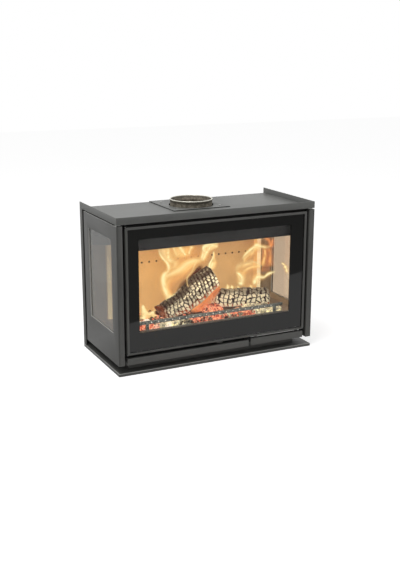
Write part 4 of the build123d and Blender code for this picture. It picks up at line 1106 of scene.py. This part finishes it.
def crack_field(shape, run, girth, spec, settings):
    """Cracks of charred wood: how deep each point lies in one, from 0 to 1, and a number for its block.

    The log is ruled into bands along it, and each band is cut across at a shift of its own. The depth falls
    off with the distance to the nearest line over a width that changes from block to block, and is cut off at
    1, which makes the cracks' bottoms flat.
    """
    rows, columns = shape
    seed, bands, pitch = spec["seed"], spec["bands"], spec["pitch"] * MM
    wander = waves(shape, (26, 14), seed, True) - 0.5
    along = np.linspace(0, run, rows)[:, None] + wander * pitch * 0.6
    wander = waves(shape, (28, 11), seed + 1, True) - 0.5
    across = np.linspace(0, girth, columns, endpoint=False) + wander * girth / bands * 0.9
    band = across / girth * bands
    index = np.floor(band) % bands
    shifts = np.cumsum(np.random.default_rng(seed + 2).uniform(0.02, 0.34, bands))
    cut = along / pitch + shifts[index.astype(int)]
    cell = np.floor(cut)
    to_cut = np.abs(cut - np.round(cut)) * pitch
    to_band = np.abs(band - np.round(band)) * girth / bands
    wide = settings.crack_width * (0.6 + 0.8 * scatter(np.round(cut), index, seed))
    narrow = settings.crack_width * (0.7 * scatter(cell, np.round(band) % bands, seed + 3) + 0.3)
    depth = np.maximum(1 - to_cut / wide, 1 - to_band / np.maximum(narrow, 0.01 * MM))
    return np.clip(depth * 1.8, 0, 1), scatter(cell, index, seed + 5)


def log_rows(rows):
    """Each row's place along the log and its size, which grows from nothing over 18 rows at both ends."""
    cap = np.linspace(0, 1, 18, endpoint=False)
    place = np.concatenate([0 * cap, np.linspace(0, 1, rows), 0 * cap + 1])
    return place, np.concatenate([cap, np.ones(rows), cap[::-1]])


def log_section(spec, ring, place, level, rise):
    """Each point's offset from the axis: the outline, burnt away on top and thicker at its belly."""
    worn, belly = (np.interp(place, *np.array(spec[key]).T)[:, None] for key in ("worn", "belly"))
    height = ring[:, 1]
    tall = np.where(height > 0, height * (1 - worn), height * belly)
    return ring[:, :1] * level + tall[..., None] * rise


def burnt_look(spec, up, place, crack, block):
    """How much ash and how much glow each point shows.

    Ash lies on the blocks and not in the cracks, and thins out at the burnt top and at a charred foot. The
    glow sits in the cracks of the lower side, and in patches at the foot.
    """
    patch = waves(crack.shape, (9, 9), spec["seed"] + 7, True)
    low, high = spec["burnt"]
    burnt = np.clip((up + (patch - 0.5) * 0.22 - low) / (high - low), 0, 1)
    foot = spec["charred"] * np.clip(0.75 - place * 9, 0, 0.75)[:, None]
    cover = (1 - burnt * (1 - spec["faint"])) * (spec["ashy"] + 0.9 * block) * (1 - foot)
    ash = np.clip(cover * 1.25, 0, 1) * np.clip(1.15 - crack * 2, 0, 1)
    under = np.clip(-0.22 - up, 0, 0.3) / 0.3
    glow = np.clip(crack * 1.3 - 0.3, 0, 1) * under
    return ash, np.maximum(glow, foot * patch * 0.4)


def burnt_log(name, spec, settings, material):
    """A split log: its outline carried along its axis, closed at both ends and carved by its cracks."""
    start, end = (np.array(spec[key]) * MM for key in ("start", "end"))
    along, level, rise = log_axes(start, end)
    run = np.linalg.norm(end - start)
    width, height = spec["width"] * MM, spec["height"] * MM
    rough_girth = (width + height) * 1.6
    ring, girth = log_outline(int(rough_girth / settings.step), width, height)
    place, size = log_rows(int(run / settings.step))
    taper = 0.93 + 0.07 * np.clip(np.minimum(place, 1 - place) * 3, 0, 1)
    section = log_section(spec, ring, place, level, rise)
    centre = start + along * (place * run)[:, None]
    points = centre[:, None] + (size * taper)[:, None, None] * section
    shape = points.shape[:2]
    side = (size >= 1)[:, None]
    crack, block = crack_field(shape, run * 1.15, girth, spec, settings)
    crack = crack * np.where(side, 1, 0.5)
    swell = waves(shape, (11, 9), spec["seed"] + 5, True)
    sunk = crack * settings.crack_depth + (1 - swell) * settings.dents + block * settings.block_step
    normal = surface_normals(points)
    outward = np.sign((normal * section).sum(2).mean())
    points = points - normal * outward * (sunk * np.where(side, 1, 0.4))[..., None]
    up = np.broadcast_to(ring[:, 1] / height, shape)
    ash, glow = burnt_look(spec, up, place, crack, block)
    piece = new_piece(name + "_charred", points, grid_faces(*shape, True), material, "root", "charred_wood",
                      ash=ash, glow=glow)
    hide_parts(name)


class INSERT_OT_logs(bpy.types.Operator):
    """Makes the two burning logs."""

    bl_idname = "insert.logs"
    bl_label = "Logs"

    def execute(self, context):
        settings = context.scene.insert_wood
        wood = wood_material(settings)
        for name, spec in LOGS.items():
            burnt_log(name, spec, settings, wood)
        return {"FINISHED"}


# Embers


# Along the front of the bed: place in mm, heat and ash
EMBER_ROW = (
    (-296, 0.9, 0.28), (-262, 0.9, 0.24), (-238, 1.0, 0.55), (-205, 0.6, 0.75), (-165, 0.5, 0.80),
    (-130, 0.2, 0.58), (-95, 0.3, 0.66), (-80, 0.9, 0.25), (20, 0.9, 0.34), (58, 1.0, 0.22), (74, 0.3, 0.95),
    (92, 0.9, 0.30), (170, 1.0, 0.22), (190, 0.4, 0.80), (220, 0.2, 0.90), (296, 0.1, 0.90),
)
# The ridge along the guard in mm: middle, reach, height and lumps. Its heat and ash are the row's
EMBER_RIDGE = ((0, -108), (294, 12), 16, 330)
# Heaps on the bed in mm: middle, reach, height, lumps, heat and ash. Heat above 1 turns to white
EMBER_HEAPS = (
    ((50, -12), (56, 42), 42, 150, 1.0, 0.25),
    ((-205, -18), (55, 45), 44, 90, 0.70, 0.30),
    ((10, 20), (120, 45), 30, 90, 0.85, 0.30),
    ((215, -32), (90, 30), 14, 60, 0.3, 0.75),
    ((-218, -118), (9, 3), 16, 44, 1.25, 0.0),
    ((-171, -118), (12, 3), 18, 48, 2.4, 0.0),
    ((-240, -60), (40, 22), 20, 60, 1.6, 0.1),
    ((290, -112), (16, 8), 12, 26, 0.2, 1.0),
)
EMBER_SEED = 21
# How far over the bed the lumps may rise
EMBER_RISE = 80 * MM
LUMP_ROWS = 7
LUMP_COLUMNS = 10


def lump_grid(rows, columns):
    """Directions over a ball, pressed towards a cube: rows from pole to pole, columns around."""
    polar = np.linspace(0, pi, rows)[:, None]
    cosine, sine = circle(columns)
    ball = np.stack([np.sin(polar) * cosine, np.sin(polar) * sine, np.cos(polar) + 0 * sine], -1)
    ball = ball.reshape(-1, 3)
    return ball / (np.abs(ball) ** 3).sum(1, keepdims=True) ** (1 / 3)


def random_turns(draw, count):
    """Rotation matrices from random unit quaternions."""
    turn = draw.normal(size=(4, count))
    w, x, y, z = turn / np.sqrt((turn * turn).sum(0))
    return np.stack([
        1 - 2 * (y * y + z * z), 2 * (x * y - z * w), 2 * (x * z + y * w),
        2 * (x * y + z * w), 1 - 2 * (x * x + z * z), 2 * (y * z - x * w),
        2 * (x * z - y * w), 2 * (y * z + x * w), 1 - 2 * (x * x + y * y)], -1).reshape(count, 3, 3)


def row_tones(x):
    """Heat and ash at places along the front of the bed."""
    place, *tones = np.array(EMBER_ROW).T
    return [np.interp(x, place * MM, values) for values in tones]


def bed_lumps(settings, low, high, draw):
    """Lumps strewn over the bed, most and highest along the guard."""
    count = settings.count
    x = low.x + (high.x - low.x) * draw.random(count)
    depth = draw.random(count) ** 1.7
    y = low.y + (high.y - low.y) * depth
    z = low.z + (4 + 10 * draw.random(count) * (1 - depth)) * MM
    return np.stack([x, y, z, *row_tones(x)])


def ridge_lumps(low, draw):
    """Lumps in a ridge along the guard. Of its five rows of draws, the second and third have no use."""
    (middle_x, middle_y), (reach_x, reach_y), top, count = EMBER_RIDGE
    across, along, rise = draw.random((5, count))[[0, 3, 4]]
    x = (middle_x + reach_x * (2 * along - 1)) * MM
    y = (middle_y + reach_y * np.cos(across * pi)) * MM
    z = low.z + (top * rise + 5) * MM
    return np.stack([x, y, z, *row_tones(x)])


def heap_lumps(low, draw, middle, reach, top, count, heat, ash):
    """Lumps in a round heap, lower towards its rim."""
    turn, out, rise = draw.random((3, count))
    turn = turn * 2 * pi
    out = np.sqrt(out)
    x = (middle[0] + reach[0] * out * np.cos(turn)) * MM
    y = (middle[1] + reach[1] * out * np.sin(turn)) * MM
    z = low.z + (top * (1 - out) * np.sqrt(rise) + 5) * MM
    return np.stack([x, y, z, np.full(count, heat), np.full(count, ash)])


def ember_places(settings, low, high, draw):
    """Where the lumps lie, with their heat and ash: the bed, the ridge along the guard and the heaps."""
    parts = [bed_lumps(settings, low, high, draw), ridge_lumps(low, draw)]
    for heap in EMBER_HEAPS:
        parts.append(heap_lumps(low, draw, *heap))
    x, y, z, heat, ash = np.concatenate(parts, 1)
    heat = np.clip(heat + 0.7 * (draw.random(len(x)) - 0.5), 0, np.maximum(heat, 1))
    ash = np.clip(ash + 0.6 * (draw.random(len(x)) - 0.5), 0, 1)
    return np.stack([x, y, z], -1), heat, ash


def rough_lumps(settings, places, draw):
    """Lumps at their places: a ball pressed towards a cube, dented, stretched and turned at random."""
    count = len(places)
    ball = lump_grid(LUMP_ROWS, LUMP_COLUMNS)
    radius = settings.small + (settings.large - settings.small) * draw.random(count) ** 2.2
    dents = 1 + 0.24 * (draw.random((count, len(ball), 1)) - 0.5)
    dents[:, :LUMP_COLUMNS] = dents[:, :1]
    dents[:, -LUMP_COLUMNS:] = dents[:, -1:]
    stretch = 0.6 + 0.6 * draw.random((count, 1, 3))
    lumps = ball * dents * stretch * radius[:, None, None]
    return np.einsum("nij,nkj->nki", random_turns(draw, count), lumps) + places[:, None]


class INSERT_OT_embers(bpy.types.Operator):
    """Heaps loose embers on the hearth."""

    bl_idname = "insert.embers"
    bl_label = "Embers"

    def execute(self, context):
        settings = context.scene.insert_embers
        material = ember_material(settings)
        low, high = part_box("ember_bed")
        draw = np.random.default_rng(EMBER_SEED)
        places, heat, ash = ember_places(settings, low, high, draw)
        points = rough_lumps(settings, places, draw)
        points = np.clip(points, (low.x, low.y, low.z), (high.x, high.y, high.z + EMBER_RISE))
        count, each = points.shape[:2]
        faces = repeated(grid_faces(LUMP_ROWS, LUMP_COLUMNS, True), each, count)
        new_piece("ember_lumps", points, faces, material, "root", "embers",
                  glow=np.repeat(heat, each), ash=np.repeat(ash, each))
        dressed("ember_bed", material)
        return {"FINISHED"}


# Flames


# Heat is 1 in the yellow core of a flame and 0 in its red edge, and smoke lies below 0
# Strokes of flame in mm: heat, cover, widths from root to tip, and the points that each one follows
FLAME_STROKES = {
    "flame_left": (
        (0.9, 0.95, (8, 6, 4), ((-97, 26, 182), (-112, 26, 210), (-123, 27, 241), (-127, 28, 267),
                                (-122, 30, 286), (-106, 31, 300), (-103, 32, 317), (-111, 32, 332),
                                (-124, 33, 346), (-136, 34, 366), (-144, 34, 392))),
        (1.0, 0.95, (12, 11, 3), ((-124, 8, 190), (-110, 6, 196), (-96, 6, 205), (-86, 6, 214))),
    ),
    "flame_arch": (
        (0.62, 0.75, (9, 11, 10), ((-122, 26, 278), (-89, 24, 291), (-61, 22, 302), (-37, 22, 319),
                                (-9, 24, 327), (23, 26, 329), (39, 28, 341), (42, 30, 360), (32, 30, 386))),
        (1.0, 0.9, (4, 5, 6), ((32, 24, 323), (45, 24, 347), (59, 26, 365), (77, 28, 372), (100, 28, 374))),
    ),
    "flame_wisps": (
        (0.8, 0.7, (3, 5, 6), ((-103, 30, 340), (-105, 30, 362), (-105, 30, 388))),
        (0.95, 0.9, (3, 6, 9), ((-33, 28, 350), (-49, 28, 371), (-62, 28, 391))),
        (0.8, 0.65, (3, 5, 7), ((-21, 30, 350), (-16, 30, 369), (-3, 30, 388))),
        (0.7, 0.55, (3, 5, 8), ((-71, 30, 352), (-78, 30, 372), (-88, 30, 391))),
        (0.8, 0.6, (2, 2, 3), ((-54, -44, 249), (-61, -43, 258), (-63, -42, 278), (-54, -38, 293),
                               (-37, -32, 307), (-22, -20, 322), (0, -4, 338))),
    ),
    "flame_right": (
        (1.0, 0.9, (8, 9, 2), ((206, 44, 202), (212, 44, 219), (210, 44, 236), (200, 44, 252),
                               (183, 44, 258))),
        (1.0, 1.0, (7, 6, 2), ((254, 18, 202), (259, 18, 225), (272, 18, 237), (296, 18, 233),
                               (323, 18, 245), (354, 16, 251))),
        (0.9, 0.85, (3, 7, 4), ((213, 50, 307), (241, 50, 331), (263, 50, 346), (282, 50, 355),
                                (301, 50, 349), (320, 48, 345), (346, 46, 346))),
        (0.15, 0.8, (4, 5, 4), ((311, 50, 386), (333, 50, 373), (341, 48, 357), (344, 48, 347),
                                (349, 46, 363), (353, 44, 384))),
        (0.40, 0.7, (8, 6, 4), ((306, 50, 266), (316, 50, 295), (319, 48, 322), (314, 48, 343))),
        (0.20, 0.75, (8, 6, 5), ((340, 48, 262), (342, 48, 293), (341, 48, 320), (332, 48, 342))),
        (0.85, 0.8, (2, 4, 2), ((368, 8, 286), (368, -16, 282), (368, -32, 268), (368, -42, 250))),
    ),
    "flame_low": (
        (1.0, 1.0, (12, 10, 3), ((-238, -44, 148), (-233, -42, 172), (-241, -40, 206))),
        (0.9, 0.8, (8, 5, 2), ((-205, -40, 148), (-199, -40, 166), (-190, -38, 180))),
        (0.8, 0.8, (7, 6, 2), ((-266, -40, 146), (-262, -40, 166), (-268, -38, 190))),
        (0.9, 0.9, (6, 5, 1), ((138, 24, 200), (142, 24, 212), (136, 24, 222))),
        (0.9, 0.9, (7, 5, 1), ((157, 24, 198), (160, 24, 208), (154, 24, 218))),
        (0.9, 0.9, (8, 5, 1), ((183, 22, 192), (187, 22, 202), (182, 22, 212))),
        (0.9, 0.9, (8, 6, 1), ((236, 18, 190), (240, 18, 200), (235, 18, 211))),
    ),
}
# Sheets of flame in mm: heat, cover, how much the first curve shines, depth, and the two curves that each one
# lies between, by places across and up
FLAME_SHEETS = {
    "flame_sheet_arch": (0.58, 1.0, 0.8, 30, (
        (-104, 178), (-120, 212), (-130, 248), (-129, 276), (-118, 286), (-89, 295), (-61, 306), (-37, 323),
        (-9, 331), (25, 334)), (
        (-72, 200), (-84, 213), (-84, 230), (-70, 243), (-54, 254), (-35, 265), (-21, 277), (-7, 288),
        (8, 300), (26, 312))),
    "flame_sheet_high": (0.48, 0.72, 0.3, 34, (
        (-108, 295), (-106, 316), (-113, 331), (-127, 345), (-140, 365), (-148, 391)), (
        (-20, 310), (8, 322), (26, 332), (40, 342), (46, 358), (44, 384))),
    "flame_sheet_horn": (0.90, 0.95, 0.6, 28, (
        (26, 330), (34, 357), (34, 380), (55, 391), (104, 391)), (
        (44, 317), (56, 342), (71, 354), (86, 361), (106, 364))),
    "flame_sheet_right": (0.60, 0.70, 0.0, 46, (
        (178, 262), (188, 286), (216, 300), (246, 302), (276, 294), (300, 281)), (
        (219, 204), (230, 222), (248, 236), (267, 246), (286, 251), (300, 254))),
    "flame_sheet_tip": (0.80, 0.95, 0.3, 40, (
        (62, 280), (68, 309), (80, 327), (88, 354)), (
        (96, 278), (108, 304), (98, 323), (94, 354))),
    "flame_sheet_corner": (0.58, 0.60, 0.3, 50, (
        (212, 309), (242, 336), (268, 355), (300, 356)), (
        (232, 286), (258, 302), (280, 316), (300, 328))),
    "flame_sheet_red": (0.05, 0.35, 0.2, 54, (
        (304, 240), (306, 285), (302, 325), (306, 352)), (
        (350, 238), (350, 285), (346, 325), (355, 352))),
    "flame_sheet_low": (1.0, 1.0, 0.5, -40, (
        (-243, 185), (-236, 206), (-225, 184), (-214, 172), (-202, 176), (-192, 164), (-179, 154)), (
        (-243, 146), (-233, 146), (-222, 146), (-212, 146), (-202, 146), (-192, 146), (-178, 146))),
    "flame_sheet_gap": (0.04, 0.8, 0.25, -20, (
        (-43, 149), (-12, 171), (24, 200), (52, 219), (81, 236)), (
        (-6, 128), (26, 146), (56, 172), (78, 196), (93, 222))),
    "flame_sheet_smoke": (-0.7, 0.95, 0.0, 24, (
        (-150, 167), (-119, 187), (-90, 201), (-71, 230), (-53, 255), (-16, 281), (8, 305), (32, 319)), (
        (-133, 125), (-106, 145), (-74, 160), (-49, 190), (-28, 214), (4, 244), (25, 264), (50, 271))),
}


FIRST_SHEET_SEED = 70
# From the camera to the fire, square to which the strokes lie
SIGHT = (0.44, 0.88, -0.2)
# How far a stroke's faint rim reaches, for each mm of its width
STROKE_SPREAD = 3.2 * MM


def bell(u, sharpness):
    """1 at 0 and falling off on both sides: the power of e to minus the square of u times its sharpness."""
    return np.exp(-(sharpness * u) ** 2)


def between_ends(v, start, end):
    """1 along the middle, falling to 0 at both ends over the two shares."""
    return np.clip(np.minimum(v / start, (1 - v) / end), 0, 1)


def flame_stroke(stroke, seed, rows=56, columns=17):
    """One stroke: a ribbon across the line of sight, with a bright ridge, a soft body and thin ends."""
    heat, cover, widths, route = stroke
    v = np.linspace(0, 1, rows)
    u = np.linspace(-1, 1, columns)
    centre = through(np.array(route) * MM, v)
    across = np.cross(np.gradient(centre, axis=0), SIGHT)
    across = across / np.linalg.norm(across, axis=1, keepdims=True)
    flicker = waves((rows, columns), (9, 3), seed)
    swell = 0.75 + 0.5 * waves((rows, 1), (7, 1), seed + 400)[:, 0]
    width = np.interp(v, np.linspace(0, 1, len(widths)), widths) * swell * STROKE_SPREAD
    points = centre[:, None] + across[:, None] * (width[:, None] * u)[..., None]
    points[..., 1] += (flicker - 0.5) * 4 * MM
    fade = between_ends(v, 0.12, 0.18)[:, None]
    body = np.clip(bell(u, 1.5) - bell(1, 1.5), 0, 1)
    glow = heat * (0.35 + 0.65 * bell(u, 2.8)) * (0.85 + 0.3 * flicker)
    shown = cover * (0.55 * bell(u, 3.4) + 0.65 * body) * fade * (0.70 + 0.5 * flicker)
    return points, np.clip(glow, 0, 1), np.clip(shown, 0, 1)


def flame_sheet(spec, seed, rows=80, columns=32):
    """A sheet of flame between two curves: bright along the first, torn into streaks, thin at the second."""
    heat, cover, rim, depth, *curves = spec
    v = np.linspace(0, 1, rows)
    u = np.linspace(0, 1, columns)
    first, second = (through(np.array(curve) * MM, v)[:, None] for curve in curves)
    flat = first * (1 - u)[:, None] + second * u[:, None]
    streak = waves((rows, columns), (5, 8), seed)
    points = np.stack([flat[..., 0], depth * MM + (streak - 0.5) * 10 * MM, flat[..., 1]], -1)
    fade = between_ends(u, 0.12 if rim else 0.28, 0.35) * between_ends(v, 0.08, 0.08)[:, None]
    bright = rim * bell(u, 5)
    glow = heat * (0.65 + 0.7 * streak) * (1.2 - 0.85 * u) + (1 - abs(heat)) * bright
    shown = cover * (0.45 + 0.9 * streak) + 0.4 * bright
    return points, np.clip(glow, -1, 1), np.clip(shown, 0, 1) * fade


def flame_piece(name, sheets, material):
    """Sheets of flame joined into one piece."""
    points, heat, cover = (np.stack(values) for values in zip(*sheets))
    count, rows, columns = heat.shape
    faces = repeated(grid_faces(rows, columns), rows * columns, count)
    new_piece(name, points, faces, material, "root", "embers", closed=False, fire=heat, cover=cover)


class INSERT_OT_flames(bpy.types.Operator):
    """Makes the flames and the lamp that lights the firebox."""

    bl_idname = "insert.flames"
    bl_label = "Flames"

    def execute(self, context):
        settings = context.scene.insert_flames
        material = flame_material(settings)
        for index, (name, strokes) in enumerate(FLAME_STROKES.items()):
            sheets = [flame_stroke(stroke, 10 * index + number) for number, stroke in enumerate(strokes)]
            flame_piece(name, sheets, material)
        for seed, (name, spec) in enumerate(FLAME_SHEETS.items(), FIRST_SHEET_SEED):
            flame_piece(name, [flame_sheet(spec, seed)], material)
        lamp = add_lamp("fire_lamp", *FIRE_LAMP, settings.light, settings.light_width, settings.light_tone)
        lamp.data.shape = "RECTANGLE"
        lamp.data.size_y = settings.light_depth
        lamp.visible_glossy = False
        return {"FINISHED"}


# Studio


# The lamps: where each one hangs and the point that it faces, in metres
FIRE_LAMP = ((0, -0.12, 0.38), (0, 0.07, 0.20))
KEY_LAMP = ((-1.0, -0.6, 3.2), (0, 0, 0.3))
# Sheets of the studio that paint and glass alone show: height, and corners on the floor in metres
DIM_STUDIO = (3 * MM, ((-1.8, -0.07), (-1.8, -6), (8, -6), (8, -3.91)))
REAR_STUDIO = (3 * MM, rectangle(-8, -0.5, -0.42, 8))
NEAR_STUDIO = (4 * MM, ((-1.6, -0.3), (-0.42, -0.3), (-0.42, 1.61), (-0.43, 1.6)))


def add_camera(settings):
    """The camera, turned to the right, tilted down and a little rolled."""
    data = bpy.data.cameras.new("Camera")
    data.sensor_fit = "VERTICAL"
    data.sensor_height = 36
    data.lens = settings.lens
    data.clip_start = 0.05
    camera = bpy.data.objects.new("Camera", data)
    turned = (Matrix.Rotation(-settings.yaw, 4, "Z") @ Matrix.Rotation(pi / 2 - settings.pitch, 4, "X")
              @ Matrix.Rotation(settings.roll, 4, "Z"))
    place = Matrix.Translation((settings.camera_x, settings.camera_y, settings.camera_z))
    camera.matrix_world = place @ turned
    bpy.context.scene.collection.objects.link(camera)
    bpy.context.scene.camera = camera


def add_lamp(name, at, toward, power, size, tint=(1, 1, 1)):
    """A soft lamp that lights the scene and isn't seen itself."""
    data = bpy.data.lights.new(name, "AREA")
    data.energy = power
    data.color = tint
    data.size = size
    lamp = bpy.data.objects.new(name, data)
    lamp.location = at
    lamp.rotation_euler = (Vector(toward) - Vector(at)).to_track_quat("-Z", "Y").to_euler()
    lamp.visible_camera = False
    lamp.visible_transmission = False
    bpy.context.scene.collection.objects.link(lamp)
    return lamp


def stage_sheet(name, height, corners, material):
    """A flat sheet of the studio."""
    mesh = bpy.data.meshes.new(name)
    mesh.from_pydata([(x, y, height) for x, y in corners], [], [(0, 1, 2, 3)])
    mesh.materials.append(material)
    sheet = bpy.data.objects.new(name, mesh)
    bpy.context.scene.collection.objects.link(sheet)
    return sheet


def seen_directly(graph, gloss=1.0):
    """1 for rays that show the background, from the camera or through glass, and gloss for reflections."""
    path = graph.node("LightPath").outputs
    seen = graph.math("MAXIMUM", path["Is Camera Ray"], path["Is Transmission Ray"])
    return graph.math("MAXIMUM", seen, graph.times(path["Is Glossy Ray"], gloss))


def floor_material(settings):
    """A pale floor: white to the eye, with the insert's shadow on it."""
    material = new_material("Studio floor", {
        "Base Color": settings.floor, "Roughness": 1.0, "Specular IOR Level": 0.0})
    graph = Graph(material.node_tree)
    plain = material.node_tree.nodes["Principled BSDF"].outputs[0]
    strength = graph.times(seen_directly(graph, settings.floor_gloss), settings.floor_glow)
    lift = graph.node("Emission", {"Strength": strength}).outputs[0]
    graph.surface(graph.node("AddShader", {0: plain, 1: lift}).outputs[0])
    return material


def card_material(name, strength):
    """A plain grey card that shines by itself."""
    return new_material(name, {**SHINING, "Emission Color": (1, 1, 1), "Emission Strength": strength})


def surround(settings):
    """White surroundings: full white where they are seen, softer as a light."""
    world = bpy.data.worlds.new("Surroundings")
    bpy.context.scene.world = world
    world.use_nodes = True
    graph = Graph(world.node_tree)
    strength = graph.span(seen_directly(graph), 0, 1, settings.world, 1.0)
    back = world.node_tree.nodes["Background"]
    back.inputs["Color"].default_value = (1, 1, 1, 1)
    graph.tree.links.new(strength, back.inputs["Strength"])


class INSERT_OT_studio(bpy.types.Operator):
    """Sets the camera, the pale floor, the surroundings and the lamp."""

    bl_idname = "insert.studio"
    bl_label = "Studio"

    def execute(self, context):
        settings = context.scene.insert_studio
        context.scene.view_settings.view_transform = "Standard"
        add_camera(settings)
        reach = settings.floor_reach
        stage_sheet("studio_floor", 0, rectangle(-reach, -reach, reach, reach), floor_material(settings))
        dim = new_material("Dim studio", {"Base Color": settings.dark, "Roughness": 1.0})
        rear = card_material("Rear studio", settings.side)
        near = card_material("Near studio", settings.side * settings.near_side)
        for name, place, material in (("dim_studio", DIM_STUDIO, dim), ("rear_studio", REAR_STUDIO, rear),
                                      ("near_studio", NEAR_STUDIO, near)):
            sheet = stage_sheet(name, *place, material)
            sheet.visible_camera = False
            sheet.visible_diffuse = False
            sheet.visible_shadow = False
            sheet.visible_transmission = False
        surround(settings)
        add_lamp("key_lamp", *KEY_LAMP, settings.key, settings.key_size)
        return {"FINISHED"}


# Add-on


OPERATORS = (
    INSERT_OT_casing, INSERT_OT_lining, INSERT_OT_glass, INSERT_OT_collar, INSERT_OT_logs,
    INSERT_OT_embers, INSERT_OT_flames, INSERT_OT_studio,
)


class INSERT_PT_panel(bpy.types.Panel):
    """The insert's steps and their settings."""

    bl_idname = "INSERT_PT_panel"
    bl_label = "Fireplace insert"
    bl_space_type = "VIEW_3D"
    bl_region_type = "UI"
    bl_category = "Insert"

    def draw(self, context):
        for operator in OPERATORS:
            self.layout.operator(operator.bl_idname)
        for name, group in SETTINGS.items():
            box = self.layout.box()
            box.label(text=group.__doc__)
            for key in group.__annotations__:
                box.prop(getattr(context.scene, name), key)


def register():
    """Adds the settings, the steps and the panel."""
    for name, group in SETTINGS.items():
        bpy.utils.register_class(group)
        setattr(bpy.types.Scene, name, bpy.props.PointerProperty(type=group))
    for kind in (*OPERATORS, INSERT_PT_panel):
        bpy.utils.register_class(kind)


def unregister():
    """Takes the panel, the steps and the settings away."""
    for kind in reversed((*OPERATORS, INSERT_PT_panel)):
        bpy.utils.unregister_class(kind)
    for name, group in SETTINGS.items():
        delattr(bpy.types.Scene, name)
        bpy.utils.unregister_class(group)


def main():
    """Adds the settings and shared effects, then dresses the insert."""
    register()
    grain_effect()
    soot_effect()
    hole_effect()
    for step in OPERATORS:
        group, name = step.bl_idname.split(".")
        getattr(getattr(bpy.ops, group), name)()


if __name__ == "__main__":
    main()
